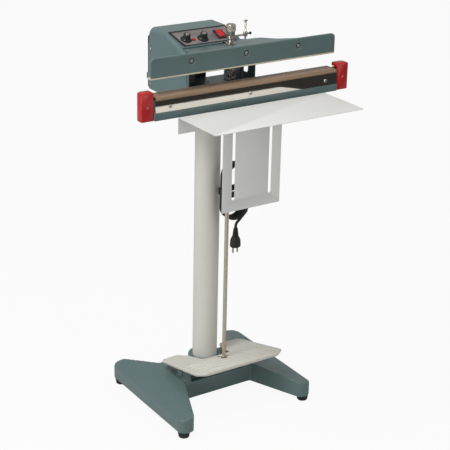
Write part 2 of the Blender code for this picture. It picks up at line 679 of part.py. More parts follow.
def make_end_caps():
    for side, word in ((-1, "left"), (1, "right")):
        low, high = sorted((side * (SEAL_HALF + GAP), side * CAP_OUTER))
        cap = box((low, CAP_FRONT, CAP_BOTTOM), (high, CAP_BACK, CAP_TOP))
        cap = bevel(cap, 0.0030, 2)
        cut_low, cut_high = sorted((side * (SEAL_HALF - 0.02), side * (SEAL_HALF + 0.010)))
        cap = cut(cap, box((cut_low, -0.169, 0.80), (cut_high, -0.12, 0.8615)))
        hole_x, hole_z = side * CAP_SCREW[0], CAP_SCREW[1]
        cap = cut(cap, rod((hole_x, -0.18, hole_z), (hole_x, -0.160, hole_z), 0.0018 + GAP, 10))
        finish(cap, "end_cap_" + word, "red")
        post = side * (SEAL_HALF + 0.0052)
        terminal = box((post - 0.0035, -0.157, 0.845), (post + 0.0035, -0.147, 0.858))
        finish(terminal, "element_terminal_" + word, "copper")


# ---------------------------------------------------------------- upper arm
ARM_LEFT_LUG = (-0.1092, -0.098)
ARM_RIGHT_LUG = (0.080, 0.092)
JAW_SCREWS = (-0.145, 0.0, 0.145)
JAW_SCREW_Z = 0.923
CLOSE_ANGLE = math.radians(9.8)


def make_arm():
    jaw = plate(rounded([(-SEAL_HALF, UPPER_BOTTOM, 0.002), (SEAL_HALF, UPPER_BOTTOM, 0.002),
                         (SEAL_HALF, UPPER_TOP, 0.010), (-SEAL_HALF, UPPER_TOP, 0.010)]),
                UPPER_FRONT, UPPER_FRONT + 0.006, "Y")
    inside = 0.0003
    rail = box((-SEAL_HALF + inside, UPPER_FRONT + 0.004, UPPER_BOTTOM + inside),
               (SEAL_HALF - inside, UPPER_FRONT + UPPER_DEPTH, 0.908))
    arm = join(bevel(jaw, 0.0015, 1), rail)
    flare = UPPER_FRONT + 0.003
    outline = rounded([(-0.158, flare, 0), (0.158, flare, 0), (0.150, -0.138, 0.01), (0.124, -0.100, 0.02),
                       (0.121, -0.036, 0.008), (0.110, WEB_BACK, 0.006), (-0.110, WEB_BACK, 0),
                       (-0.110, -0.106, 0.02), (-0.150, -0.138, 0.01)])
    web = plate(outline, 0.0, WEB_THICK)
    for vert in web.data.vertices:
        vert.co.z += web_top(vert.co.y) - WEB_THICK - 0.0008
    arm = join(arm, web)
    for low, high in (ARM_LEFT_LUG, ARM_RIGHT_LUG):
        rear = rounded([(-0.140, 0.9125, 0), (-0.060, 0.905, 0), (ARM_PIVOT_Y - 0.004, 0.878, 0.006),
                        (ARM_PIVOT_Y + 0.012, 0.878, 0.010), (ARM_PIVOT_Y + 0.012, 0.902, 0.010),
                        (ARM_PIVOT_Y - 0.012, 0.904, 0.006), (WEB_BACK, web_top(WEB_BACK) - 0.0012, 0),
                        (-0.140, web_top(-0.140) - 0.002, 0)])
        arm = join(arm, plate(rear, low, high, "X"))
    slot = rounded([(-0.0065, -0.1000, 0.006), (0.0065, -0.1000, 0.006), (0.0065, -0.0780, 0.006),
                    (-0.0065, -0.0780, 0.006)], 3)
    arm = cut(arm, plate(slot, 0.88, 0.96))
    arm = cut(arm, rod((-0.13, ARM_PIVOT_Y, ARM_PIVOT_Z), (0.13, ARM_PIVOT_Y, ARM_PIVOT_Z),
                       ARM_SHAFT_RADIUS + GAP, 20))
    sinks = [rod((x, UPPER_FRONT - 0.01, JAW_SCREW_Z), (x, UPPER_FRONT + 0.003, JAW_SCREW_Z), 0.007, 20)
             for x in JAW_SCREWS]
    holes = [rod((x, UPPER_FRONT - 0.01, JAW_SCREW_Z), (x, UPPER_FRONT + 0.03, JAW_SCREW_Z), 0.002 + GAP, 10)
             for x in JAW_SCREWS]
    arm = cut(arm, group(*sinks))
    arm = cut(arm, group(*holes))
    groove = box((-SEAL_HALF - 0.01, UPPER_FRONT + 0.0015, UPPER_BOTTOM - 0.01),
                 (SEAL_HALF + 0.01, UPPER_FRONT + 0.0165, UPPER_BOTTOM + 0.005))
    finish(cut(arm, groove), "upper_jaw_arm", "hammertone", ARM)


def make_seal_pad():
    """The silicone rubber on the upper jaw: its underside is level when the arm is closed."""
    front, back = UPPER_FRONT + 0.0015 + GAP, UPPER_FRONT + 0.0165 - GAP
    top = UPPER_BOTTOM + 0.005 - GAP
    low = UPPER_BOTTOM - 0.0005
    rise = (back - front) * math.tan(CLOSE_ANGLE)
    profile = [(front, low), (back, low - rise), (back, top), (front, top)]
    finish(plate(profile, -SEAL_HALF + 0.001, SEAL_HALF - 0.001, "X"), "silicone_pad", "silicone", ARM)


def make_arm_shaft():
    shaft = rod((HEAD_LEFT + 0.0005, ARM_PIVOT_Y, ARM_PIVOT_Z),
                (HEAD_RIGHT + 0.004, ARM_PIVOT_Y, ARM_PIVOT_Z),
                ARM_SHAFT_RADIUS, 20)
    head = rod((HEAD_RIGHT + GAP, ARM_PIVOT_Y, ARM_PIVOT_Z), (HEAD_RIGHT + 0.005, ARM_PIVOT_Y, ARM_PIVOT_Z),
               0.009, 16)
    finish(join(shaft, head), "arm_pivot_shaft", "steel")
    for word, low, high in (("left", -0.0965, -0.0885), ("right", 0.0695, 0.0785)):
        collar = rod((low, ARM_PIVOT_Y, ARM_PIVOT_Z), (high, ARM_PIVOT_Y, ARM_PIVOT_Z), 0.011, 20)
        bore = rod((low - 0.01, ARM_PIVOT_Y, ARM_PIVOT_Z), (high + 0.01, ARM_PIVOT_Y, ARM_PIVOT_Z),
                   ARM_SHAFT_RADIUS + GAP, 20)
        finish(cut(collar, bore), "shaft_collar_" + word, "steel")


# ---------------------------------------------------------------- rod, springs and pedal
ROD_TOP = 0.9655
KNOB_BOTTOM = 0.9495
KNOB_TOP = 0.9765
KNOB_OUTER = 0.0112
SEAT_BOTTOM = 0.9315
SPRING_BOTTOM = 0.9335
SPRING_TOP = 0.9436
TRIP_BAR_BOTTOM = 0.9459
TRIP_BAR_TOP = 0.9491
TRIP_X = 0.040


def coil(centre, radius, bottom, top, turns, thickness, per_turn=14):
    """A compression spring, its wire ends just inside its two faces."""
    count = int(turns * per_turn)
    low, high = bottom + thickness * 1.1, top - thickness * 1.1
    points = []
    for k in range(count + 1):
        angle = 2 * math.pi * k / per_turn
        z = low + (high - low) * k / count
        points.append((centre[0] + radius * math.cos(angle), centre[1] + radius * math.sin(angle), z))
    return wire(points, thickness, 1)


def ring(low, high, outer, inner, sides=24):
    """A washer or nut about the pull rod; six sides make a nut."""
    solid = rod((0, ROD_Y, low), (0, ROD_Y, high), outer, sides)
    return cut(solid, rod((0, ROD_Y, low - 0.01), (0, ROD_Y, high + 0.01), inner, 16))


def make_rod():
    bar = rod((0, ROD_Y, ROD_EYE_Z + 0.006), (0, ROD_Y, ROD_TOP), ROD_RADIUS, 16)
    eye = rod((-0.006, ROD_Y, ROD_EYE_Z), (0.006, ROD_Y, ROD_EYE_Z), 0.009, 20)
    bar = join(bar, eye)
    slot = rounded([(ROD_Y - 0.0062, ROD_EYE_Z - 0.0045, 0.0044),
                    (ROD_Y + 0.0062, ROD_EYE_Z - 0.0045, 0.0044),
                    (ROD_Y + 0.0062, ROD_EYE_Z + 0.0045, 0.0044), (ROD_Y - 0.0062, ROD_EYE_Z + 0.0045,
                                                                   0.0044)])
    bar = cut(bar, plate(slot, -0.02, 0.02, "X"))
    finish(bar, "pull_rod", "nickel", ROD)
    bore = ROD_RADIUS + GAP
    for word, z in (("lower", 0.8680), ("upper", 0.8760)):
        finish(ring(z, z + 0.0065, 0.0098, bore, 6), "rod_lock_nut_" + word, "nickel", ROD)
    finish(ring(SEAT_BOTTOM, SPRING_BOTTOM - GAP, 0.0120, bore), "spring_seat", "nickel", ROD)
    finish(ring(SPRING_TOP + GAP, TRIP_BAR_BOTTOM - GAP, 0.0098, bore), "spring_washer", "nickel", ROD)
    axis = (0, ROD_Y, KNOB_BOTTOM)
    knob = turned([(0.0, KNOB_TOP), (KNOB_OUTER - 0.001, KNOB_TOP), (KNOB_OUTER, KNOB_TOP - 0.001),
                   (KNOB_OUTER, KNOB_TOP - 0.016), (0.0095, KNOB_TOP - 0.018), (0.0095, KNOB_BOTTOM),
                   (0.0, KNOB_BOTTOM)], (0, ROD_Y), 32)
    knob = cut(knob, rod((0, ROD_Y, 0.9), (0, ROD_Y, ROD_TOP + GAP), ROD_RADIUS + GAP, 16))
    finish(knob, "pressure_adjuster", "nickel", axis)
    finish(coil((0, ROD_Y), 0.0078, SPRING_BOTTOM, SPRING_TOP, 2.5, 0.0009), "pressure_spring", "steel", ROD)
    spring_top = web_top(ROD_Y) - WEB_THICK - 0.0025
    finish(coil((0, ROD_Y), 0.0125, LOWER_FOOT_TOP + GAP, spring_top, 8, 0.0012, 12), "return_spring",
           "steel")


def make_trip():
    """The adjustable trip: a side arm held under the knob, with a vertical screw clamped in its end."""
    bore = ROD_RADIUS + GAP
    arm = rod((0, ROD_Y, TRIP_BAR_BOTTOM), (0, ROD_Y, TRIP_BAR_TOP), 0.0095, 24)
    arm = join(arm, box((0.004, ROD_Y - 0.003, TRIP_BAR_BOTTOM), (TRIP_X, ROD_Y + 0.003, TRIP_BAR_TOP)),
               rod((TRIP_X, ROD_Y, 0.9440), (TRIP_X, ROD_Y, 0.9540), 0.0052, 18))
    arm = cut(arm, rod((0, ROD_Y, 0.94), (0, ROD_Y, 0.96), bore, 16),
              rod((TRIP_X, ROD_Y, 0.93), (TRIP_X, ROD_Y, 0.96), 0.0022 + GAP, 12),
              rod((TRIP_X + 0.002, ROD_Y, 0.9495), (TRIP_X + 0.02, ROD_Y, 0.9495), 0.0016 + GAP, 10))
    finish(arm, "trip_arm", "nickel", ROD)
    screw = join(rod((TRIP_X, ROD_Y, 0.9375), (TRIP_X, ROD_Y, 0.9815), 0.0022, 12),
                 rod((TRIP_X - 0.0055, ROD_Y, 0.9800), (TRIP_X + 0.0055, ROD_Y, 0.9800), 0.0017, 10))
    finish(screw, "trip_screw", "nickel", (TRIP_X, ROD_Y, 0.9375))
    stem = rod((TRIP_X + 0.0027, ROD_Y, 0.9495), (TRIP_X + 0.012, ROD_Y, 0.9495), 0.0016, 10)
    tip = rod((TRIP_X + 0.0105, ROD_Y, 0.9495), (TRIP_X + 0.017, ROD_Y, 0.9495), 0.0032, 16, 0.0024)
    finish(join(stem, tip), "trip_clamp_screw", "black", ROD)


PEDAL_SLOT = (-0.0990, -0.0670)
NOTCH_FRONT = -0.060
PEDAL_RIBS = 5
PEDAL_RIB_PITCH = 0.0175


def pedal_height(y):
    """Top of the pedal's plate at a depth y, pedal up."""
    return PEDAL_FRONT_Z - PEDAL_SLOPE * (y - PEDAL_FRONT_Y)


def make_pedal():
    corners = [(-0.104, PEDAL_FRONT_Y, 0.014), (0.112, PEDAL_FRONT_Y, 0.014), (0.136, -0.150, 0.010),
               (0.124, 0.026, 0.012), (0.066, 0.032, 0.010), (0.050, 0.002, 0.010), (0.042, NOTCH_FRONT, 0.012),
               (-0.042, NOTCH_FRONT, 0.012), (-0.050, 0.002, 0.010), (-0.066, 0.032, 0.010), (-0.115, 0.026, 0.012),
               (-0.122, -0.148, 0.010)]
    tread = plate(rounded(corners, 3), -PEDAL_THICK, 0.0)
    tread = bevel(tread, 0.0012, 1)
    for k in range(PEDAL_RIBS):
        y = PEDAL_FRONT_Y + 0.012 + k * PEDAL_RIB_PITCH
        tread = join(tread, box((-0.098, y, -0.002), (0.098, y + 0.004, 0.0012)))
    for vert in tread.data.vertices:
        vert.co.z += pedal_height(vert.co.y)
    slot = rounded([(-0.0065, PEDAL_SLOT[0], 0.006), (0.0065, PEDAL_SLOT[0], 0.006),
                    (0.0065, PEDAL_SLOT[1], 0.006),
                    (-0.0065, PEDAL_SLOT[1], 0.006)], 3)
    tread = cut(tread, plate(slot, 0.05, 0.2))
    for side in (-1, 1):
        low, high = sorted((side * 0.065, side * (EAR_INNER - 0.001)))
        lug = rounded([(-0.054, 0.0715, 0.010), (-0.030, 0.0715, 0.010), (-0.028, 0.1035, 0),
                       (-0.066, 0.1125, 0)])
        tread = join(tread, plate(lug, low, high, "X"))
        low, high = sorted((side * 0.0075, side * 0.0125))
        lug = rounded([(ROD_Y - 0.009, 0.0862, 0.008), (ROD_Y + 0.009, 0.0862, 0.008),
                       (ROD_Y + 0.010, 0.1175, 0),
                       (ROD_Y - 0.010, 0.1220, 0)])
        tread = join(tread, plate(lug, low, high, "X"))
    tread = cut(tread, rod((-0.12, PEDAL_PIVOT_Y, PEDAL_PIVOT_Z), (0.12, PEDAL_PIVOT_Y, PEDAL_PIVOT_Z),
                           PEDAL_SHAFT_RADIUS + GAP, 20))
    tread = cut(tread, rod((-0.02, ROD_Y, ROD_EYE_Z), (0.02, ROD_Y, ROD_EYE_Z), 0.004 + GAP, 16))
    finish(tread, "pedal", "off_white", PEDAL)
    shaft = rod((-0.101, PEDAL_PIVOT_Y, PEDAL_PIVOT_Z), (0.1035, PEDAL_PIVOT_Y, PEDAL_PIVOT_Z),
                PEDAL_SHAFT_RADIUS, 20)
    head = rod((-EAR_OUTER - GAP, PEDAL_PIVOT_Y, PEDAL_PIVOT_Z), (-0.1015, PEDAL_PIVOT_Y, PEDAL_PIVOT_Z),
               0.0092, 6)
    finish(join(shaft, head), "pedal_shaft", "steel")
    nut = rod((EAR_OUTER + GAP, PEDAL_PIVOT_Y, PEDAL_PIVOT_Z), (0.1015, PEDAL_PIVOT_Y, PEDAL_PIVOT_Z), 0.0092,
              6)
    bore = rod((0.09, PEDAL_PIVOT_Y, PEDAL_PIVOT_Z), (0.12, PEDAL_PIVOT_Y, PEDAL_PIVOT_Z),
               PEDAL_SHAFT_RADIUS + GAP, 20)
    finish(cut(nut, bore), "pedal_shaft_nut", "steel")
    pin = rod((-0.0150, ROD_Y, ROD_EYE_Z), (0.0150, ROD_Y, ROD_EYE_Z), 0.004, 16)
    finish(pin, "rod_pin", "steel", PEDAL)


# ---------------------------------------------------------------- work table
TABLE_SHEET = 0.0015
TONGUE_HALF = 0.081
TONGUE_BOTTOM = 0.561
TABLE_SLOT_X = 0.051
TABLE_SLOT_HALF = 0.004
TABLE_SLOT_BOTTOM = 0.589
TABLE_BOLT_Z = 0.775
TABLE_BOLT_RADIUS = 0.003
FLANGE_BOTTOM = 0.7725


def make_table():
    top = plate(rounded([(-TABLE_HALF, TABLE_FRONT, 0.004), (TABLE_HALF, TABLE_FRONT, 0.004),
                         (TABLE_HALF, TABLE_BACK + TABLE_SHEET / 2, 0),
                         (-TABLE_HALF, TABLE_BACK + TABLE_SHEET / 2, 0)]),
                TABLE_TOP - TABLE_SHEET, TABLE_TOP)
    half = TABLE_HALF - 0.0002
    back = rounded([(-half, FLANGE_BOTTOM, 0.003), (-TONGUE_HALF, FLANGE_BOTTOM + 0.0004, 0.002),
                    (-TONGUE_HALF, TONGUE_BOTTOM, 0.006), (TONGUE_HALF, TONGUE_BOTTOM, 0.006),
                    (TONGUE_HALF, FLANGE_BOTTOM + 0.0004, 0.002), (half, FLANGE_BOTTOM, 0.003),
                    (half, TABLE_TOP - 0.0005, 0), (-half, TABLE_TOP - 0.0005, 0)])
    table = join(top, plate(back, TABLE_BACK, TABLE_BACK + TABLE_SHEET, "Y"))
    slots = []
    for side in (-1, 1):
        x = side * TABLE_SLOT_X
        radius = TABLE_SLOT_HALF - 0.0002
        slot = rounded([(x - TABLE_SLOT_HALF, TABLE_SLOT_BOTTOM, radius),
                        (x + TABLE_SLOT_HALF, TABLE_SLOT_BOTTOM, radius),
                        (x + TABLE_SLOT_HALF, TABLE_BOLT_Z + 0.0045, radius),
                        (x - TABLE_SLOT_HALF, TABLE_BOLT_Z + 0.0045, radius)])
        slots.append(plate(slot, TABLE_BACK - 0.01, TABLE_BACK + 0.01, "Y"))
    finish(cut(table, group(*slots)), "work_table", "off_white", TABLE)
    behind = TABLE_BACK + TABLE_SHEET + GAP
    bracket_top = LOWER_BOTTOM - GAP
    bracket = box((-0.075, behind, 0.757), (0.075, behind + 0.003, bracket_top))
    bracket = join(bracket, box((-0.075, behind, 0.8010), (0.075, LOWER_BACK + 0.0015, bracket_top)))
    holes = [rod((side * TABLE_SLOT_X, behind - 0.01, TABLE_BOLT_Z),
                 (side * TABLE_SLOT_X, behind + 0.01, TABLE_BOLT_Z),
                 TABLE_BOLT_RADIUS + GAP, 12) for side in (-1, 1)]
    holes += [rod((x, BRACKET_SCREW_Y, 0.79), (x, BRACKET_SCREW_Y, 0.81), 0.002 + GAP,
                  10) for x in BRACKET_SCREWS]
    finish(cut(bracket, group(*holes)), "table_bracket", "hammertone")
    for side, word in ((-1, "left"), (1, "right")):
        x = side * TABLE_SLOT_X
        face = TABLE_BACK - GAP
        washer = rod((x, face, TABLE_BOLT_Z), (x, face - 0.0015, TABLE_BOLT_Z), 0.009, 20)
        bolt = hex_bolt((x, face - 0.001, TABLE_BOLT_Z), (0, -1, 0), 0.010, 0.005, TABLE_BOLT_RADIUS, 0.013)
        finish(join(washer, bolt), "table_bolt_" + word, "steel")


# ---------------------------------------------------------------- mains lead
def smooth_route(route, steps):
    """Points along a Catmull-Rom curve through the route."""
    points = [Vector(p) for p in route]
    padded = [2 * points[0] - points[1]] + points + [2 * points[-1] - points[-2]]
    result = []
    for a, b, c, d in zip(padded, padded[1:], padded[2:], padded[3:]):
        for k in range(steps):
            t = k / steps
            result.append(0.5 * (2 * b + (c - a) * t + (2 * a - 5 * b + 4 * c - d) * t * t
                                 + (3 * b - a - 3 * c + d) * t * t * t))
    result.append(points[-1])
    return result


def make_lead():
    relief = turned([(0.0, HEAD_FLOOR - GAP), (0.0105, HEAD_FLOOR - GAP), (0.0105, HEAD_FLOOR - 0.005),
                     (0.0065, HEAD_FLOOR - 0.008), (0.0048, 0.7700), (0.0, 0.7700)], CORD_HOLE, 20)
    finish(relief, "cord_strain_relief", "black")
    finish(wire(smooth_route(LEAD_ROUTE, 1), LEAD_RADIUS, 3), "mains_lead", "black")
    finish(wire(smooth_route(TAIL_ROUTE, 1), LEAD_RADIUS, 3), "mains_lead_tail", "black")
    x, y = HANK_CENTRE
    half = HANK_WIDTH / 2
    outline = rounded([(x - half, HANK_BOTTOM, half - 0.0005), (x + half, HANK_BOTTOM, half - 0.0005),
                       (x + half, HANK_TOP, half - 0.0005), (x - half, HANK_TOP, half - 0.0005)], 8)
    finish(plate(outline, y - HANK_THICK / 2, y + HANK_THICK / 2, "Y"), "mains_lead_hank", "black")
    body = turned([(0.0, PLUG_TOP), (0.0055, PLUG_TOP), (0.0080, PLUG_TOP - 0.022),
                   (0.0125, PLUG_TOP - 0.030),
                   (0.0140, PLUG_TOP - 0.050), (0.0, PLUG_TOP - 0.050)], (PLUG_X, y), 24)
    low = PLUG_TOP - 0.050
    for dx in (-0.0063, 0.0063):
        body = join(body, box((PLUG_X + dx - 0.0008, y - 0.003, low - 0.016),
                              (PLUG_X + dx + 0.0008, y + 0.003, low + 0.002)))
    finish(body, "mains_plug", "black")


make_base()
make_feet()
make_post()
make_flange()
make_head_frame()
make_cover()
make_back_plate()
make_panel()
make_electrics()
make_lower_jaw()
make_seal_stack()
make_end_caps()
make_arm()
make_seal_pad()
make_arm_shaft()
make_rod()
make_trip()
make_pedal()
make_table()
make_lead()
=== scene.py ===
"""The looks of a foot-operated impulse heat sealer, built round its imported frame.

Lengths are in metres. Local places are given about the post's axis, which stands at y = POST_Y.
"""
import math

import bmesh
import bpy
from mathutils import Matrix, Vector


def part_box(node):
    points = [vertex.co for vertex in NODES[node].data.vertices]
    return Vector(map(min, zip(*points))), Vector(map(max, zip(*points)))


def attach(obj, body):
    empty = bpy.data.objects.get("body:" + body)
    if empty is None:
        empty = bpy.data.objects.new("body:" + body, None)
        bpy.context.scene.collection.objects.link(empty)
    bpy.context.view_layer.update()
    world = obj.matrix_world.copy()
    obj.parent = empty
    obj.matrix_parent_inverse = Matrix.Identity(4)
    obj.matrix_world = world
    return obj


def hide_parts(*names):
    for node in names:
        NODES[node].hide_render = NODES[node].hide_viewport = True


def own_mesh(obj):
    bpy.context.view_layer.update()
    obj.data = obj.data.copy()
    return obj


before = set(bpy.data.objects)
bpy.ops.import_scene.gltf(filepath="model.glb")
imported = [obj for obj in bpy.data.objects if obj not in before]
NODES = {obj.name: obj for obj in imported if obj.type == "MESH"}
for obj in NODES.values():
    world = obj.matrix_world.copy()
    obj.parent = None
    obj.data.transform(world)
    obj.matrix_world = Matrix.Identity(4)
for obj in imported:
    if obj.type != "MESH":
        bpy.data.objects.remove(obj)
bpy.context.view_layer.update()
POST_Y = (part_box("post_tube")[0].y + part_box("post_tube")[1].y) / 2
TAU = 2 * math.pi
SIDES = ((-1, "left"), (1, "right"))


def at(x, y, z):
    """A place given about the post's axis, in the frame."""
    return Vector((x, y + POST_Y, z))


def local(node):
    """A node's box about the post's axis."""
    low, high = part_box(node)
    shift = Vector((0, POST_Y, 0))
    return low - shift, high - shift


def middle_of(node):
    """The middle of a node's box about the post's axis."""
    return sum(local(node), Vector()) / 2


def facing(axis):
    """A turn that takes the Z axis to another."""
    return Vector(axis).to_track_quat("Z", "Y").to_matrix().to_4x4()


def linked(name, data):
    """A new object in the scene."""
    obj = bpy.data.objects.new(name, data)
    bpy.context.scene.collection.objects.link(obj)
    return obj


# ---------------------------------------------------------------- materials
def tone(red, green, blue):
    """A linear colour from display values."""
    return tuple(c / 12.92 if c <= 0.04045 else ((c + 0.055) / 1.055) ** 2.4 for c in (red, green, blue))


class Surface:
    """A Principled material whose colour, roughness and bump come from nodes in object space."""

    def __init__(self, name, color, rough, metal=0.0, **settings):
        self.mat = bpy.data.materials.new(name)
        self.mat.use_nodes = True
        self.tree = self.mat.node_tree
        self.shader = self.tree.nodes["Principled BSDF"]
        self.color = color
        self.shader.inputs["Base Color"].default_value = (*color, 1)
        self.shader.inputs["Roughness"].default_value = rough
        self.shader.inputs["Metallic"].default_value = metal
        for key, value in settings.items():
            self.shader.inputs[key.replace("_", " ")].default_value = value
        self.coord = self.tree.nodes.new("ShaderNodeTexCoord").outputs["Object"]
        self.height = None

    def add(self, kind, **links):
        node = self.tree.nodes.new(kind)
        for key, value in links.items():
            self.feed(node.inputs[key.replace("_", " ")], value)
        return node

    def feed(self, socket, value):
        if isinstance(value, bpy.types.NodeSocket):
            self.tree.links.new(value, socket)
        else:
            socket.default_value = value

    def stretched(self, scale):
        return self.add("ShaderNodeMapping", Vector=self.coord, Scale=scale).outputs["Vector"]

    def noise(self, scale, detail=3.0, stretch=None):
        where = self.stretched(stretch) if stretch else self.coord
        return self.add("ShaderNodeTexNoise", Vector=where, Scale=scale, Detail=detail).outputs["Fac"]

    def cells(self, scale):
        node = self.add("ShaderNodeTexVoronoi", Vector=self.coord, Scale=scale)
        node.feature = "SMOOTH_F1"
        return node.outputs["Distance"]

    def ridges(self, scale, direction):
        node = self.add("ShaderNodeTexWave", Vector=self.coord, Scale=scale)
        node.bands_direction = direction
        return node.outputs["Fac"]

    def spread(self, value, low, high, to_low=0.0, to_high=1.0):
        node = self.add("ShaderNodeMapRange", Value=value)
        for key, number in (("From Min", low), ("From Max", high), ("To Min", to_low), ("To Max", to_high)):
            node.inputs[key].default_value = number
        return node.outputs["Result"]

    def times(self, a, b):
        node = self.tree.nodes.new("ShaderNodeMath")
        node.operation = "MULTIPLY"
        for socket, value in zip(node.inputs, (a, b)):
            self.feed(socket, value)
        return node.outputs[0]

    def edges(self, radius):
        """1 along rounded edges, 0 on flat areas."""
        soft = self.add("ShaderNodeBevel", Radius=radius)
        soft.samples = 4
        flat = self.tree.nodes.new("ShaderNodeNewGeometry").outputs["Normal"]
        dot = self.tree.nodes.new("ShaderNodeVectorMath")
        dot.operation = "DOT_PRODUCT"
        self.tree.links.new(soft.outputs["Normal"], dot.inputs[0])
        self.tree.links.new(flat, dot.inputs[1])
        return self.spread(dot.outputs["Value"], 0.985, 0.90)

    def tint(self, fac, color):
        """Blend the colour so far towards another, by a mask."""
        mix = self.tree.nodes.new("ShaderNodeMix")
        mix.data_type = "RGBA"
        self.tree.links.new(fac, mix.inputs[0])
        base = self.shader.inputs["Base Color"]
        if base.is_linked:
            self.tree.links.new(base.links[0].from_socket, mix.inputs[6])
        else:
            mix.inputs[6].default_value = (*self.color, 1)
        mix.inputs[7].default_value = (*color, 1)
        self.tree.links.new(mix.outputs[2], base)
        return self

    def rough(self, fac, low, high):
        self.tree.links.new(self.spread(fac, 0.3, 0.7, low, high), self.shader.inputs["Roughness"])
        return self

    def bump(self, height, strength, distance):
        node = self.add("ShaderNodeBump", Height=height, Strength=strength, Distance=distance)
        if self.height:
            self.tree.links.new(self.height, node.inputs["Normal"])
        self.height = node.outputs["Normal"]
        self.tree.links.new(self.height, self.shader.inputs["Normal"])
        return self


def shade(color, factor):
    return tuple(min(c * factor, 1.0) for c in color)


def hammertone_paint():
    color = tone(0.355, 0.44, 0.44)
    paint = Surface("hammertone_paint", color, 0.36, Coat_Weight=0.25, Coat_Roughness=0.22)
    paint.tint(paint.spread(paint.noise(9, 2), 0.35, 0.75, 0, 0.5), shade(color, 1.18))
    paint.tint(paint.spread(paint.cells(420), 0.1, 0.5, 0.0, 0.22), shade(color, 0.72))
    # Rounded edges lightened to twice the paint colour where a noise mask allows. This is partly chipped
    # paint and partly a painted highlight along edges that catch the light.
    chips_and_edge_highlight = paint.times(paint.edges(0.0014), paint.spread(paint.noise(160, 4), 0.50, 0.66))
    paint.tint(paint.times(chips_and_edge_highlight, 0.55), shade(color, 2.0))
    paint.rough(paint.noise(60), 0.32, 0.44)
    paint.bump(paint.cells(420), 0.16, 0.0004)
    return paint.bump(paint.noise(60, 2), 0.10, 0.0008)


def powder(name, color, grain, rough):
    paint = Surface(name, color, rough, Coat_Weight=0.08, Coat_Roughness=0.35)
    paint.tint(paint.spread(paint.noise(7, 3), 0.35, 0.7, 0, 0.5), shade(color, 0.94))
    paint.tint(paint.spread(paint.noise(70, 5), 0.62, 0.80, 0, 0.22), shade(color, 0.80))
    paint.rough(paint.noise(40), rough - 0.05, rough + 0.08)
    return paint.bump(paint.noise(grain, 2), 0.12, 0.0002)


def pedal_paint():
    color = tone(0.83, 0.82, 0.78)
    paint = powder("pedal_paint", color, 900, 0.48)
    rubbed = paint.times(paint.edges(0.0012), paint.spread(paint.noise(120, 4), 0.45, 0.62))
    paint.tint(paint.times(rubbed, 0.5), tone(0.74, 0.72, 0.68))
    return paint.bump(paint.noise(140, 3), 0.10, 0.0006)


def plated(name, color, rough):
    metal = Surface(name, color, rough, 1.0)
    metal.tint(metal.spread(metal.noise(40, 4), 0.4, 0.75, 0, 0.18), shade(color, 0.72))
    metal.rough(metal.noise(90, 4), rough - 0.06, rough + 0.12)
    return metal.bump(metal.noise(30, 2, (1, 1, 60)), 0.02, 0.0001)


def black_rubber():
    rubber = Surface("black_rubber", tone(0.10, 0.10, 0.105), 0.62)
    rubber.tint(rubber.spread(rubber.noise(80, 4), 0.45, 0.75, 0, 0.5), tone(0.17, 0.17, 0.17))
    return rubber.bump(rubber.noise(1200, 2), 0.12, 0.0002)


def black_plastic():
    plastic = Surface("black_plastic", tone(0.12, 0.12, 0.125), 0.42)
    plastic.tint(plastic.spread(plastic.noise(60, 3), 0.5, 0.8, 0, 0.4), tone(0.2, 0.2, 0.2))
    plastic.rough(plastic.noise(200), 0.36, 0.50)
    return plastic.bump(plastic.noise(2600, 1), 0.10, 0.0001)


def red_plastic():
    color = tone(0.70, 0.09, 0.085)
    plastic = Surface("red_plastic", color, 0.32, Coat_Weight=0.2, Coat_Roughness=0.15,
                      Subsurface_Weight=0.04, Subsurface_Scale=0.003)
    plastic.tint(plastic.spread(plastic.noise(30, 3), 0.4, 0.75, 0, 0.5), shade(color, 0.78))
    scuffs = plastic.times(plastic.edges(0.0012), plastic.spread(plastic.noise(180, 4), 0.46, 0.62))
    plastic.tint(plastic.times(scuffs, 0.4), tone(0.88, 0.34, 0.28))
    plastic.rough(plastic.noise(120), 0.27, 0.42)
    return plastic.bump(plastic.noise(900, 2), 0.07, 0.0002)


def red_lens():
    lens = Surface("red_lens", tone(0.72, 0.05, 0.05), 0.18, Coat_Weight=0.5, Coat_Roughness=0.06,
                   Emission_Color=(0.6, 0.02, 0.02, 1), Emission_Strength=0.12)
    lens.tint(lens.spread(lens.noise(300, 2), 0.4, 0.7, 0, 0.5), tone(0.50, 0.03, 0.04))
    return lens.bump(lens.ridges(900, "X"), 0.08, 0.0002)


def panel_print():
    color = tone(0.60, 0.575, 0.57)
    panel = Surface("panel_plate", color, 0.36, 0.35)
    panel.tint(panel.spread(panel.noise(500, 3, (1, 12, 12)), 0.35, 0.7, 0, 0.6), shade(color, 0.70))
    panel.tint(panel.spread(panel.noise(60, 3), 0.45, 0.7, 0, 0.4), tone(0.50, 0.44, 0.46))
    return panel.bump(panel.noise(700, 1, (1, 15, 15)), 0.06, 0.0001)


def polished_strip():
    metal = Surface("dark_polished_steel", tone(0.86, 0.84, 0.80), 0.04, 1.0)
    metal.tint(metal.spread(metal.noise(35, 4, (1, 6, 6)), 0.52, 0.8, 0, 0.25), tone(0.70, 0.68, 0.65))
    metal.rough(metal.noise(60, 4, (1, 8, 8)), 0.03, 0.06)
    return metal.bump(metal.noise(12, 1, (0.5, 3, 3)), 0.01, 0.0001)


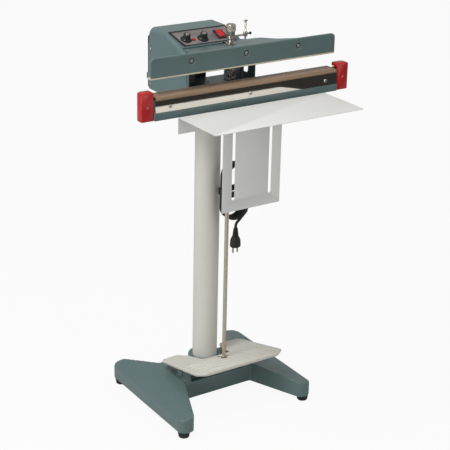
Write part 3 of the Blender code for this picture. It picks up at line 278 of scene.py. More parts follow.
def release_cloth():
    color = tone(0.56, 0.455, 0.345)
    cloth = Surface("release_cloth", color, 0.40, Sheen_Weight=0.15)
    cloth.tint(cloth.spread(cloth.noise(20, 4, (0.35, 9, 9)), 0.35, 0.70, 0, 0.8), tone(0.47, 0.375, 0.28))
    cloth.tint(cloth.spread(cloth.noise(55, 4, (0.2, 7, 7)), 0.55, 0.78, 0, 0.6), tone(0.66, 0.56, 0.44))
    cloth.tint(cloth.spread(cloth.noise(140, 4), 0.60, 0.80, 0, 0.5), tone(0.36, 0.27, 0.19))
    weave = cloth.times(cloth.ridges(420, "X"), cloth.ridges(420, "Y"))
    cloth.rough(cloth.noise(200), 0.34, 0.50)
    cloth.bump(weave, 0.22, 0.0002)
    return cloth.bump(cloth.noise(12, 3, (0.6, 6, 6)), 0.15, 0.001)


def silicone_rubber():
    color = tone(0.80, 0.76, 0.67)
    rubber = Surface("silicone_rubber", color, 0.55, Subsurface_Weight=0.1, Subsurface_Scale=0.004)
    rubber.tint(rubber.spread(rubber.noise(40, 4, (0.3, 3, 3)), 0.45, 0.75, 0, 0.6), shade(color, 0.75))
    return rubber.bump(rubber.noise(500, 3), 0.10, 0.0003)


def insulating_board():
    color = tone(0.72, 0.66, 0.54)
    board = Surface("insulating_board", color, 0.7)
    board.tint(board.spread(board.noise(300, 4, (0.2, 1, 1)), 0.4, 0.7, 0, 0.7), shade(color, 0.65))
    return board.bump(board.noise(700, 3, (0.2, 1, 1)), 0.2, 0.0003)


def copper():
    color = tone(0.72, 0.42, 0.25)
    metal = Surface("copper", color, 0.3, 0.9)
    metal.tint(metal.spread(metal.noise(120, 4), 0.45, 0.7, 0, 0.7), tone(0.42, 0.22, 0.14))
    return metal.bump(metal.ridges(700, "Z"), 0.35, 0.0004)


def laminations():
    color = tone(0.34, 0.35, 0.37)
    steel = Surface("laminations", color, 0.42, 0.8)
    steel.tint(steel.spread(steel.noise(60, 4), 0.5, 0.75, 0, 0.6), tone(0.36, 0.26, 0.20))
    return steel.bump(steel.ridges(550, "X"), 0.5, 0.0005)


def circuit_board():
    board = Surface("circuit_board", tone(0.13, 0.36, 0.20), 0.35, Coat_Weight=0.4, Coat_Roughness=0.15)
    traces = board.spread(board.cells(260), 0.06, 0.10)
    board.tint(board.times(traces, 0.5), tone(0.22, 0.50, 0.28))
    return board.bump(traces, 0.2, 0.0001)


def ink(name, color):
    paint = Surface(name, color, 0.45)
    worn = 0.6 if color[0] > 0.2 else 3.0
    paint.tint(paint.spread(paint.noise(800, 3), 0.5, 0.8, 0, 0.4), shade(color, worn))
    return paint.bump(paint.noise(1500, 2), 0.08, 0.0001)


MATERIALS = {
    "hammertone_paint": hammertone_paint().mat,
    "grey_paint": powder("grey_paint", tone(0.83, 0.82, 0.79), 1300, 0.46).mat,
    "white_paint": powder("white_paint", tone(0.88, 0.88, 0.87), 1500, 0.42).mat,
    "pedal_paint": pedal_paint().mat,
    "nickel": plated("nickel", tone(0.80, 0.76, 0.69), 0.24).mat,
    "steel": plated("steel", tone(0.72, 0.72, 0.72), 0.28).mat,
    "black_rubber": black_rubber().mat,
    "black_plastic": black_plastic().mat,
    "red_plastic": red_plastic().mat,
    "red_lens": red_lens().mat,
    "panel_plate": panel_print().mat,
    "dark_polished_steel": polished_strip().mat,
    "release_cloth": release_cloth().mat,
    "silicone_rubber": silicone_rubber().mat,
    "insulating_board": insulating_board().mat,
    "copper": copper().mat,
    "circuit_board": circuit_board().mat,
}
LAMINATIONS = laminations().mat
BLACK_INK = ink("black_ink", tone(0.08, 0.08, 0.085)).mat
WHITE_INK = ink("white_ink", tone(0.85, 0.84, 0.80)).mat
# A near-black ink used as painted shade. It colours the rings at the bottom of the jaw screws' recesses.
RECESS_PAINTED_SHADE = ink("recess_painted_shade", tone(0.05, 0.05, 0.05)).mat


# ---------------------------------------------------------------- shapes
def from_bmesh(bm, name="shape"):
    bmesh.ops.recalc_face_normals(bm, faces=bm.faces)
    mesh = bpy.data.meshes.new(name)
    bm.to_mesh(mesh)
    bm.free()
    return linked(name, mesh)


def evaluated(obj):
    """Bake an object's modifiers, or a curve's tube, into a mesh in world space."""
    bpy.context.view_layer.update()
    graph = bpy.context.evaluated_depsgraph_get()
    mesh = bpy.data.meshes.new_from_object(obj.evaluated_get(graph))
    mesh.transform(obj.matrix_world)
    baked = linked(obj.name, mesh)
    bpy.data.objects.remove(obj, do_unlink=True)
    return baked


def copy_of(node):
    """A new mesh piece with a CAD node's shape."""
    bm = bmesh.new()
    bm.from_mesh(NODES[node].data)
    bm.transform(NODES[node].matrix_world)
    bmesh.ops.remove_doubles(bm, verts=bm.verts, dist=0.00002)
    return from_bmesh(bm, node)


def box(low, high):
    bm = bmesh.new()
    bmesh.ops.create_cube(bm, size=1)
    low, high = Vector(low), Vector(high)
    size = high - low
    for vert in bm.verts:
        vert.co = Vector([low[k] + size[k] * (vert.co[k] + 0.5) for k in range(3)])
    return from_bmesh(bm, "box")


def rod(start, end, radius, sides=32):
    start, end = Vector(start), Vector(end)
    way = end - start
    bm = bmesh.new()
    bmesh.ops.create_cone(bm, cap_ends=True, segments=sides, radius1=radius, radius2=radius, depth=way.length)
    bm.transform(Matrix.Translation((start + end) / 2) @ facing(way))
    return from_bmesh(bm, "rod")


def rounded(corners, steps=10):
    """Outline points from (u, v, radius) corners, with an arc at each corner that has a radius."""
    points = []
    count = len(corners)
    for i, (u, v, radius) in enumerate(corners):
        here = Vector((u, v))
        if radius <= 0:
            points.append((u, v))
            continue
        before = (Vector(corners[i - 1][:2]) - here).normalized()
        after = (Vector(corners[(i + 1) % count][:2]) - here).normalized()
        half = before.angle(after) / 2
        reach = radius / math.tan(half)
        centre = here + (before + after).normalized() * (radius / math.sin(half))
        start = here + before * reach - centre
        end = here + after * reach - centre
        sweep = math.atan2(start.x * end.y - start.y * end.x, start.dot(end))
        for k in range(steps + 1):
            turn = sweep * k / steps
            points.append((centre.x + start.x * math.cos(turn) - start.y * math.sin(turn),
                           centre.y + start.x * math.sin(turn) + start.y * math.cos(turn)))
    return points


def rectangle(left, bottom, right, top, radius, steps=8):
    return rounded([(left, bottom, radius), (right, bottom, radius), (right, top, radius),
                    (left, top, radius)], steps)


AXES = {"X": lambda u, v, w: (w, u, v), "Y": lambda u, v, w: (u, w, v), "Z": lambda u, v, w: (u, v, w)}


def plate(outline, low, high, axis="Z"):
    """A flat outline pulled straight between two heights along an axis."""
    place = AXES[axis]
    bm = bmesh.new()
    base = [bm.verts.new(place(u, v, low)) for u, v in outline]
    top = [bm.verts.new(place(u, v, high)) for u, v in outline]
    bm.faces.new(base)
    bm.faces.new(list(reversed(top)))
    count = len(outline)
    for i in range(count):
        j = (i + 1) % count
        bm.faces.new((base[i], top[i], top[j], base[j]))
    return from_bmesh(bm, "plate")


def lathe(profile, centre, axis=(0, 0, 1), sides=48, warp=None):
    """A solid turned from (radius, height) points about an axis; warp(angle, height) scales the radius."""
    bm = bmesh.new()
    rings = []
    for radius, height in profile:
        ring = []
        for k in range(sides):
            angle = TAU * k / sides
            reach = radius * (warp(angle, height) if warp else 1.0)
            ring.append(bm.verts.new((reach * math.cos(angle), reach * math.sin(angle), height)))
        rings.append(ring)
    for a, b in zip(rings, rings[1:]):
        for k in range(sides):
            m = (k + 1) % sides
            bm.faces.new((a[k], a[m], b[m], b[k]))
    for ring in (rings[0], rings[-1]):
        bm.faces.new(ring)
    bm.transform(Matrix.Translation(Vector(centre)) @ facing(axis))
    return from_bmesh(bm, "lathe")


def tube(points, radius, name="tube", sides=4):
    """A round wire as a curve through closely spaced points."""
    curve = bpy.data.curves.new(name, "CURVE")
    curve.dimensions = "3D"
    curve.bevel_depth = radius
    curve.bevel_resolution = sides
    curve.use_fill_caps = True
    spline = curve.splines.new("POLY")
    spline.points.add(len(points) - 1)
    for point, place in zip(spline.points, points):
        point.co = (*place, 1)
    return linked(name, curve)


def boolean(obj, operation, *others):
    for other in others:
        tool = obj.modifiers.new(operation, "BOOLEAN")
        tool.operation = operation
        tool.solver = "EXACT"
        tool.object = other
        obj = evaluated(obj)
        bpy.data.objects.remove(other, do_unlink=True)
    return obj


def cut(obj, *others):
    return boolean(obj, "DIFFERENCE", *others)


def weld(obj, *others):
    return boolean(obj, "UNION", *others)


def together(*objs):
    """Several shapes as one mesh piece."""
    bm = bmesh.new()
    for obj in objs:
        if obj.type != "MESH":
            obj = evaluated(obj)
        bm.from_mesh(obj.data)
        bpy.data.objects.remove(obj, do_unlink=True)
    mesh = bpy.data.meshes.new("together")
    bm.to_mesh(mesh)
    bm.free()
    return linked("together", mesh)


def round_edges(obj, radius, chosen):
    """Round the edges that a test picks."""
    bm = bmesh.new()
    bm.from_mesh(obj.data)
    edges = [edge for edge in bm.edges if chosen(edge)]
    bmesh.ops.bevel(bm, geom=edges, offset=radius, segments=8, profile=0.5, affect="EDGES",
                    clamp_overlap=False)
    bm.to_mesh(obj.data)
    bm.free()


def moved(obj, matrix):
    obj.data.transform(matrix)
    return obj


def soften(obj, width, segments=3, angle=35):
    """Round every edge sharper than an angle."""
    edge = obj.modifiers.new("soften", "BEVEL")
    edge.width = width
    edge.segments = segments
    edge.limit_method = "ANGLE"
    edge.angle_limit = math.radians(angle)
    edge.use_clamp_overlap = True
    edge.harden_normals = True
    return evaluated(obj)


def cast(obj, voxel, passes, keep):
    """A casting's soft corners and fillets: an even mesh, smoothed, then thinned on its flats."""
    grid = obj.modifiers.new("grid", "REMESH")
    grid.mode = "VOXEL"
    grid.voxel_size = voxel
    relax = obj.modifiers.new("relax", "SMOOTH")
    relax.factor = 0.5
    relax.iterations = passes
    thin = obj.modifiers.new("thin", "DECIMATE")
    thin.ratio = keep
    return evaluated(obj)


def piece(obj, name, slot, body="root", replaces=(), angle=35, mat=None):
    """Name a piece, give it its material, make it ride on its body and stand for its CAD nodes."""
    obj.name = name
    obj.data.name = name
    obj.data.materials.clear()
    obj.data.materials.append(mat or MATERIALS[slot])
    if obj.type == "MESH":
        obj.data.shade_smooth()
        obj.data.set_sharp_from_angle(angle=math.radians(angle))
    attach(obj, body)
    if replaces:
        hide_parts(*replaces)
    return obj


def cast_piece(node, name, slot, voxel, passes, keep, body="root"):
    """A CAD node's shape with a casting's soft corners, as a piece."""
    return piece(cast(copy_of(node), voxel, passes, keep), name, slot, body, (node,), 60)


def soft_piece(node, name, slot, width, segments=2, body="root", mat=None):
    """A CAD node's shape with its edges rounded, as a piece."""
    return piece(soften(copy_of(node), width, segments), name, slot, body, (node,), mat=mat)


SCREWS = []


def screw(centre, axis, radius, height, name, body="root", cross=True):
    """A pan-head screw with a driver recess, its head's underside at centre."""
    profile = [(radius * 0.96, 0.0), (radius, height * 0.12), (radius * 0.97, height * 0.45),
               (radius * 0.82, height * 0.78), (radius * 0.55, height * 0.95), (radius * 0.25, height)]
    head = lathe(profile, (0, 0, 0), sides=28)
    blade = radius * 0.17
    reach = radius * 0.62
    deep = height * 0.45
    head = cut(head, box((-reach, -blade, deep), (reach, blade, height * 2)))
    if cross:
        head = cut(head, box((-blade, -reach, deep), (blade, reach, height * 2)))
    spin = Matrix.Rotation(0.5 + 1.7 * len(SCREWS), 4, "Z")
    SCREWS.append(name)
    return piece(moved(head, Matrix.Translation(centre) @ facing(axis) @ spin), name, "steel", body)


def hexagon(centre, axis, across, height, name, body="root", replaces=(), slot="steel", bore=0.0, spin=0.3):
    """A nut or bolt head with turned-off corners."""
    radius = across / math.sqrt(3)
    solid = rod((0, 0, 0), (0, 0, height), radius, 6)
    chamfer = lathe([(radius * 0.90, 0.0), (radius * 1.02, height * 0.14), (radius * 1.02, height * 0.86),
                     (radius * 0.90, height)], (0, 0, 0), sides=48)
    solid = boolean(solid, "INTERSECT", chamfer)
    if bore:
        solid = cut(solid, rod((0, 0, -height), (0, 0, height * 2), bore, 32))
    solid = moved(solid, Matrix.Translation(centre) @ facing(axis) @ Matrix.Rotation(spin, 4, "Z"))
    return piece(solid, name, slot, body, replaces, 25)


# ---------------------------------------------------------------- camera
VIEW_AZIMUTH = math.radians(-33.46)
VIEW_DOWN = math.radians(21.79)
VIEW_ROLL = 0.0207
VIEW_PLACE = (-1.6143, -2.5136, 1.6528)
VIEW_LENS = 103.65
VIEW_SHIFT = (0.0058, -0.00575)


def make_camera():
    right = Vector((math.cos(VIEW_AZIMUTH), math.sin(VIEW_AZIMUTH), 0))
    ahead = Vector((-right.y, right.x, 0))
    forward = ahead * math.cos(VIEW_DOWN) - Vector((0, 0, math.sin(VIEW_DOWN)))
    up = right.cross(forward)
    right, up = (right * math.cos(VIEW_ROLL) + up * math.sin(VIEW_ROLL),
                 up * math.cos(VIEW_ROLL) - right * math.sin(VIEW_ROLL))
    data = bpy.data.cameras.new("camera")
    data.lens = VIEW_LENS
    data.sensor_width = 36
    data.shift_x, data.shift_y = VIEW_SHIFT
    camera = linked("camera", data)
    turn = Matrix((right, up, -forward)).transposed().to_4x4()
    camera.matrix_world = Matrix.Translation(at(*VIEW_PLACE)) @ turn
    bpy.context.scene.camera = camera


# ---------------------------------------------------------------- mains lead
LEAD_DIAMETER = 0.007
LEAD_ROUTE = [
    (0.0580, -0.0460, 0.7695), (0.0581, -0.0460, 0.7520), (0.0587, -0.0457, 0.7340),
    (0.0602, -0.0452, 0.7160), (0.0625, -0.0446, 0.6980), (0.0652, -0.0441, 0.6800),
    (0.0677, -0.0438, 0.6620), (0.0696, -0.0436, 0.6440), (0.0707, -0.0436, 0.6205),
]
TAIL_ROUTE = [
    (0.0560, -0.0640, 0.4779), (0.0530, -0.0605, 0.4718), (0.0506, -0.0572, 0.4652),
    (0.0496, -0.0560, 0.4590), (0.0495, -0.0560, 0.4533),
]
HANK_TURNS = 4
LAYER = 0.0073


def smooth_route(route, steps):
    """Points along a Catmull-Rom curve through the route."""
    points = [Vector(p) for p in route]
    padded = [2 * points[0] - points[1]] + points + [2 * points[-1] - points[-2]]
    result = []
    for a, b, c, d in zip(padded, padded[1:], padded[2:], padded[3:]):
        for k in range(steps):
            t = k / steps
            result.append(0.5 * (2 * b + (c - a) * t + (2 * a - 5 * b + 4 * c - d) * t * t
                                 + (3 * b - a - 3 * c + d) * t * t * t))
    result.append(points[-1])
    return result


def hank_turns():
    """The winding: long loops side by side, each a layer in front of the last."""
    low, high = local("mains_lead_hank")
    fold = (high.x - low.x - LEAD_DIAMETER) / 2
    middle = (low.x + high.x) / 2
    upper = high.z - LEAD_DIAMETER / 2 - fold
    lower = low.z + LEAD_DIAMETER / 2 + fold
    straight = upper - lower
    lap = 2 * straight + TAU * fold
    back = high.y - LEAD_DIAMETER / 2 - 0.0006
    leave = straight + fold * math.radians(24)
    total = HANK_TURNS * lap + leave
    count = int(total / 0.0065)
    points = []
    for k in range(count + 1):
        run = total * k / count
        s = run % lap
        if s < straight:
            x, z = fold, upper - s
        elif s < straight + math.pi * fold:
            turn = (s - straight) / fold
            x, z = fold * math.cos(turn), lower - fold * math.sin(turn)
        elif s < 2 * straight + math.pi * fold:
            x, z = -fold, lower + (s - straight - math.pi * fold)
        else:
            turn = (s - 2 * straight - math.pi * fold) / fold
            x, z = -fold * math.cos(turn), upper + fold * math.sin(turn)
        points.append(Vector((middle + x, back - LAYER * run / lap, z)))
    return points


def make_lead():
    turns = hank_turns()
    lead = smooth_route([*LEAD_ROUTE[:-1], (turns[0] + Vector((-0.0006, -0.0012, 0.016)))[:], turns[1][:]], 3)
    tail = smooth_route([turns[-2][:], turns[-1][:], *TAIL_ROUTE], 3)[3:]
    points = [at(*p) for p in lead[:-3] + turns[1:-1] + tail]
    lead = tube(points, LEAD_DIAMETER / 2, "mains_lead_run", 5)
    piece(lead, "mains_lead_run", "black_rubber",
          replaces=("mains_lead", "mains_lead_tail", "mains_lead_hank"))
    plug = make_plug()
    relief = make_strain_relief()
    make_pins()
    make_tie()


def make_plug():
    x, y, _ = middle_of("mains_plug")
    top = local("mains_plug")[1].z
    profile = [(0.0042, top)]
    for k in range(5):
        z = top - 0.0015 - k * 0.0042
        grow = 0.0056 + 0.0005 * k
        profile += [(grow, z), (grow, z - 0.0022), (grow - 0.0012, z - 0.0028), (grow - 0.0012, z - 0.0038)]
    profile += [(0.0092, top - 0.0235), (0.0118, top - 0.0285), (0.0132, top - 0.0335),
                (0.0138, top - 0.0440),
                (0.0136, top - 0.0485), (0.0126, top - 0.0498)]

    def flats(angle, z):
        return 1.0 - (0.14 * abs(math.sin(angle)) ** 3 if z < top - 0.024 else 0.0)

    return piece(lathe(profile, at(x, y, 0), sides=56, warp=flats), "mains_plug_body", "black_rubber",
                 replaces=("mains_plug",))


def make_pins():
    x, y, _ = middle_of("mains_plug")
    y += POST_Y
    bottom = local("mains_plug")[0].z
    pins = []
    for side, word in SIDES:
        px = x + side * 0.0063
        outline = rectangle(px - 0.0008, y - 0.003, px + 0.0008, y + 0.003, 0.0004, 3)
        pin = plate(outline, bottom, bottom + 0.019)
        pins.append(piece(soften(pin, 0.0003, 2), "plug_blade_" + word, "nickel"))
    return pins


def make_tie():
    """A hook-and-loop band round the hank's waist, its free end lapped over."""
    low, high = local("mains_lead_hank")
    grow = 0.0006
    radius = LEAD_DIAMETER / 2 + grow
    front, back = low.y + POST_Y, high.y + POST_Y
    slack = 0.0008
    outline = rectangle(low.x - grow, front - grow + slack, high.x + grow, back + grow, radius)
    inner = rectangle(low.x, front + slack, high.x, back, radius - grow)
    middle = (low.z + high.z) / 2
    band = cut(plate(outline, middle - 0.008, middle + 0.008), plate(inner, middle - 0.02, middle + 0.02))
    lap = box((low.x + 0.012, front - grow - 0.0006, middle - 0.0078),
              (low.x + 0.047, front - grow + 0.0014, middle + 0.0078))
    return piece(soften(weld(band, lap), 0.0004, 2), "lead_tie_band", "black_plastic")


def make_strain_relief():
    low, high = local("cord_strain_relief")
    x, y = (low.x + high.x) / 2, (low.y + high.y) / 2
    top = high.z
    profile = [(0.0100, top), (0.0105, top - 0.0006), (0.0105, top - 0.0045), (0.0098, top - 0.0052)]
    for k in range(6):
        z = top - 0.0062 - k * 0.0037
        wide = 0.0070 - 0.0004 * k
        profile += [(wide, z), (wide, z - 0.0019), (wide - 0.0011, z - 0.0024), (wide - 0.0011, z - 0.0033)]
    profile += [(0.0044, low.z + 0.0006), (0.0040, low.z)]
    return piece(lathe(profile, at(x, y, 0), sides=40), "strain_relief_sleeve", "black_rubber",
                 replaces=("cord_strain_relief",))


# ---------------------------------------------------------------- base
POST_WALL = 0.003
SET_SCREW = (0.0463, 0.0855)
BOLT_CIRCLE = 0.046
FLANGE_FACE = 0.7937


def make_base():
    cast_piece("base_casting", "base_casting_body", "hammertone_paint", 0.0016, 7, 0.35)
    for where in ("front_left", "front_right", "rear_left", "rear_right"):
        low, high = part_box("rubber_foot_" + where)
        x, y = (low.x + high.x) / 2, (low.y + high.y) / 2
        profile = [(0.0140, high.z), (0.0147, high.z - 0.0006), (0.0150, 0.0118), (0.0144, 0.0086),
                   (0.0136, 0.0072),
                   (0.0138, 0.0060), (0.0134, 0.0018), (0.0126, 0.0005), (0.0118, low.z), (0.0070, low.z),
                   (0.0066, 0.0004), (0.0066, 0.0062)]
        foot = lathe(profile, (x, y, 0), sides=56)
        piece(foot, "foot_pad_" + where, "black_rubber", replaces=("rubber_foot_" + where,))
        screw((x, y, 0.0062), (0, 0, -1), 0.0052, 0.0030, "foot_screw_" + where)
    low, high = local("post_tube")
    radius = (high.x - low.x) / 2
    bore = radius - POST_WALL
    post = lathe([(radius - 0.0004, low.z), (radius, low.z + 0.0004), (radius, high.z - 0.0004),
                  (radius - 0.0004, high.z)], at(0, 0, 0), sides=96)
    post = cut(post, rod(at(0, 0, low.z - 0.01), at(0, 0, high.z + 0.01), bore, 64))
    piece(post, "post_tube_body", "grey_paint", replaces=("post_tube",))
    for side, word in SIDES:
        screw(at(side * SET_SCREW[0], 0, SET_SCREW[1]), (side, 0, 0), 0.0058, 0.0040,
              "post_set_screw_" + word)
    cast_piece("post_flange", "post_flange_body", "hammertone_paint", 0.0011, 4, 0.4)
    for number in range(4):
        turn = math.radians(60 * (number + 1))
        place = at(BOLT_CIRCLE * math.cos(turn), BOLT_CIRCLE * math.sin(turn), FLANGE_FACE)
        hexagon(place, (0, 0, -1), 0.010, 0.0040, f"flange_bolt_{number + 1}", spin=0.2 * number)


# ---------------------------------------------------------------- pedal
PEDAL_FRONT = (-0.172, 0.142)
PEDAL_FALL = 0.245
PEDAL_RIBS = 5
PEDAL_RIB_PITCH = 0.0175


def pedal_top(y):
    return PEDAL_FRONT[1] - PEDAL_FALL * (y - PEDAL_FRONT[0])


def pedal_rim():
    """The rolled edge under the tread's front and sides."""
    radius = 0.0042
    front = PEDAL_FRONT[0] + radius + 0.0008
    corners = [(-0.1104, 0.019, 0), (-0.1169, -0.1454, 0.008), (-0.1002, front, 0.012),
               (0.1086, front, 0.012),
               (0.1306, -0.1474, 0.008), (0.1188, 0.019, 0)]
    path = [at(x, y, pedal_top(y) - radius - 0.0007) for x, y in rounded(corners, 8)]
    return evaluated(tube(path, radius, "rim", 5))


def make_pedal():
    cast_piece("pedal", "pedal_casting", "pedal_paint", 0.00105, 3, 0.4, "foot_pedal")
    piece(pedal_rim(), "pedal_rolled_edge", "pedal_paint", "foot_pedal", angle=60)
    ribs = []
    for k in range(PEDAL_RIBS):
        y = PEDAL_FRONT[0] + 0.014 + k * PEDAL_RIB_PITCH
        left, right = (-0.101, 0.108) if k == 0 else (-0.107, 0.120)
        rib = lathe([(0.0008, left), (0.0022, left + 0.0008), (0.0030, left + 0.0026),
                     (0.0030, right - 0.0026),
                     (0.0022, right - 0.0008), (0.0008, right)], at(0, y, pedal_top(y)), (1, 0, 0), 20)
        if y > -0.112:
            rib = cut(rib, box(at(-0.0085, -0.2, 0.05), at(0.0085, 0.2, 0.2)))
        ribs.append(rib)
    piece(together(*ribs), "pedal_tread_ribs", "pedal_paint", "foot_pedal", angle=60)
    _, pivot_y, pivot_z = middle_of("pedal_shaft")
    shaft = lathe([(0.0056, -0.101), (0.0064, -0.1002), (0.0064, 0.1028), (0.0056, 0.1035)],
                  at(0, pivot_y, pivot_z), (1, 0, 0), 40)
    piece(shaft, "pedal_shaft_bar", "steel", replaces=("pedal_shaft",))
    hexagon(at(-0.0963, pivot_y, pivot_z), (-1, 0, 0), 0.0159, 0.0052, "pedal_shaft_head")
    hexagon(at(0.0963, pivot_y, pivot_z), (1, 0, 0), 0.0159, 0.0052, "pedal_shaft_lock_nut",
            replaces=("pedal_shaft_nut",), bore=0.0066)
    low, high = local("rod_pin")
    pin = lathe([(0.0034, low.x), (0.0040, low.x + 0.0006), (0.0040, high.x - 0.0006), (0.0034, high.x)],
                at(0, *middle_of("rod_pin").yz), (1, 0, 0), 32)
    piece(pin, "rod_pin_body", "steel", "foot_pedal", ("rod_pin",))


# ---------------------------------------------------------------- head casing
PANEL_LOW = (-0.057, 0.926)
PANEL_HIGH = (0.003, 0.951)
SLOPE = math.atan2(PANEL_HIGH[1] - PANEL_LOW[1], PANEL_HIGH[0] - PANEL_LOW[0])
SHEET = 0.002
COVER_SCREWS = [(-0.080, 0.812), (0.070, 0.812), (0.070, 0.897)]
SEAL_KNOB = (-0.085, 0.027)
LAMP = (-0.0665, 0.0225)
COOL_KNOB = (-0.0415, 0.023)
ROCKER = (0.010, 0.030)
ROCKER_HALF = (0.0105, 0.0145)
PANEL_HOLES = ((*SEAL_KNOB, 0.0042), (*COOL_KNOB, 0.0042), (*LAMP, 0.0034))
PANEL_FACE = 0.0015


def on_slope(x, along, out):
    """A place on the panel's slope: along runs up it from its lower edge, out stands off it."""
    y = PANEL_LOW[0] + along * math.cos(SLOPE) - out * math.sin(SLOPE)
    z = PANEL_LOW[1] + along * math.sin(SLOPE) + out * math.cos(SLOPE)
    return at(x, y, z)


def slope_frame(x, along, out):
    return Matrix.Translation(on_slope(x, along, out)) @ Matrix.Rotation(SLOPE, 4, "X")


def shifted(outline):
    return [(u + POST_Y, v) for u, v in outline]


def rocker_hole():
    across, along = ROCKER_HALF
    return box((-across, -along, -0.02), (across, along, 0.02))


def make_cover():
    low, high = local("control_cover")
    back = high.y
    edge = 0.011
    outline = rounded([(-0.100, low.z, 0), (back, low.z, 0), (back, 0.951, 0.024), (*PANEL_HIGH, 0.010),
                       (*PANEL_LOW, 0.02), (-0.100, 0.9105, 0.006)], 10)
    cover = plate(shifted(outline), low.x, high.x + 0.02, "X")
    round_left_edges(cover, low.x, edge, low.z)
    inner = rounded([(-0.2, 0.70, 0), (back + 0.01, 0.70, 0), (back + 0.01, 0.924, 0),
                     (back - SHEET, 0.924, 0),
                     (back - SHEET, 0.951 - SHEET, 0.022), (PANEL_HIGH[0], PANEL_HIGH[1] - SHEET, 0.008),
                     (PANEL_LOW[0] - 0.002, PANEL_LOW[1] - SHEET - 0.0008, 0), (-0.1005, 0.9105 - SHEET, 0),
                     (-0.2, 0.90, 0)], 10)
    hollow = plate(shifted(inner), low.x + SHEET, high.x - SHEET, "X")
    round_left_edges(hollow, low.x + SHEET, edge - SHEET, 0.70)
    cover = cut(cover, hollow)
    right = high.x + 0.03
    cover = cut(cover, box(at(high.x, -0.2, 0.7), at(right, 0.2, 1.0)),
                box(at(low.x + 0.0095, -0.2, 0.7), at(right, PANEL_LOW[0], 1.0)),
                box(at(0.0, -0.2, 0.7), at(right, -0.024, 0.9275)),
                box(at(0.0, -0.2, 0.7), at(right, 0.2, 0.9125)))
    for x, along, radius in PANEL_HOLES:
        cover = cut(cover, rod(on_slope(x, along, -0.02), on_slope(x, along, 0.02), radius, 32))
    cover = cut(cover, moved(rocker_hole(), slope_frame(*ROCKER, 0)))
    for y, z in COVER_SCREWS:
        cover = cut(cover, rod(at(low.x - 0.01, y, z), at(low.x + 0.02, y, z), 0.0023, 20))
    piece(cover, "control_cover_shell", "hammertone_paint", replaces=("control_cover",), angle=40)
    for number, (y, z) in enumerate(COVER_SCREWS):
        screw(at(low.x - 0.0002, y, z), (-1, 0, 0), 0.0042, 0.0022, f"cover_screw_{number + 1}")
    cast_piece("head_frame", "head_frame_body", "hammertone_paint", 0.0011, 3, 0.35)
    make_back()


def round_left_edges(obj, x, radius, floor):
    """Round the edges where the shell's left side turns into its top, back and slope."""
    front = min(vert.co.y for vert in obj.data.vertices)

    def chosen(edge):
        ends = [vert.co for vert in edge.verts]
        return (all(abs(end.x - x) < 1e-6 for end in ends)
                and not all(abs(end.z - floor) < 1e-6 for end in ends)
                and not all(abs(end.y - front) < 1e-6 for end in ends))

    round_edges(obj, radius, chosen)


def make_back():
    low, high = local("back_plate")
    soft_piece("back_plate", "back_plate_sheet", "black_plastic", 0.0006)
    bars = []
    for k in range(6):
        z = low.z + 0.045 + k * 0.009
        bars.append(soften(box(at(-0.085, high.y - 0.0004, z), at(-0.020, high.y + 0.0014, z + 0.0035)),
                           0.0008, 3))
    piece(together(*bars), "back_plate_louvres", "black_plastic")
    corners = [(x, z) for z in (low.z + 0.008, high.z - 0.010) for x in (low.x + 0.008, high.x - 0.008)]
    for number, (x, z) in enumerate(corners):
        screw(at(x, high.y, z), (0, 1, 0), 0.0036, 0.0018, f"back_screw_{number + 1}")


def make_panel():
    left, right = -0.116, 0.040
    length = math.hypot(PANEL_HIGH[0] - PANEL_LOW[0], PANEL_HIGH[1] - PANEL_LOW[1])
    bottom, top = 0.004, length - 0.003
    outline = rounded([(left + 0.012, bottom, 0.004), (right, bottom, 0.003), (right, top, 0.003),
                       (left, top, 0.004)], 6)
    sheet = plate(outline, 0.0003, PANEL_FACE)
    for x, along, radius in PANEL_HOLES:
        sheet = cut(sheet, rod((x, along, -0.02), (x, along, 0.02), radius, 32))
    sheet = cut(sheet, moved(rocker_hole(), Matrix.Translation((*ROCKER, 0))))
    place = slope_frame(0, 0, 0)
    piece(moved(soften(sheet, 0.0003, 2), place), "panel_face", "panel_plate", replaces=("panel_plate",))
    inside = rounded([(left + 0.0185, bottom + 0.0018, 0.003), (right - 0.0018, bottom + 0.0018, 0.002),
                      (right - 0.0018, top - 0.0040, 0.002), (left + 0.0070, top - 0.0040, 0.003)], 6)
    border = cut(plate(outline, PANEL_FACE - 0.0002, PANEL_FACE + 0.0005), plate(inside, 0, 0.01))
    piece(moved(border, place), "panel_border", "black_plastic")
    marks = []
    for x, along in (SEAL_KNOB, COOL_KNOB):
        for k in range(11):
            turn = math.radians(225 - 27 * k)
            tick = 0.0026 if k % 5 == 0 else 0.0016
            mark = box((0.0143, -0.0003, PANEL_FACE - 0.0001), (0.0143 + tick, 0.0003, PANEL_FACE + 0.0001))
            marks.append(moved(mark, Matrix.Translation((x, along, 0)) @ Matrix.Rotation(turn, 4, "Z")))
    x, along = ROCKER
    marks.append(box((x + 0.0150, along + 0.006, PANEL_FACE - 0.0001),
                     (x + 0.0156, along + 0.0115, PANEL_FACE + 0.0001)))
    marks.append(lathe([(0.0016, 0), (0.0022, 0), (0.0022, 0.0001), (0.0016, 0.0001)],
                       (x + 0.0165, along - 0.008, PANEL_FACE), sides=24))
    piece(moved(together(*marks), place), "panel_marks", "panel_plate", mat=WHITE_INK)
    make_dials()


def flutes(angle, z):
    return 1.0 - (0.065 * (0.5 + 0.5 * math.cos(12 * angle)) ** 2 if z > 0.0036 else 0.0)


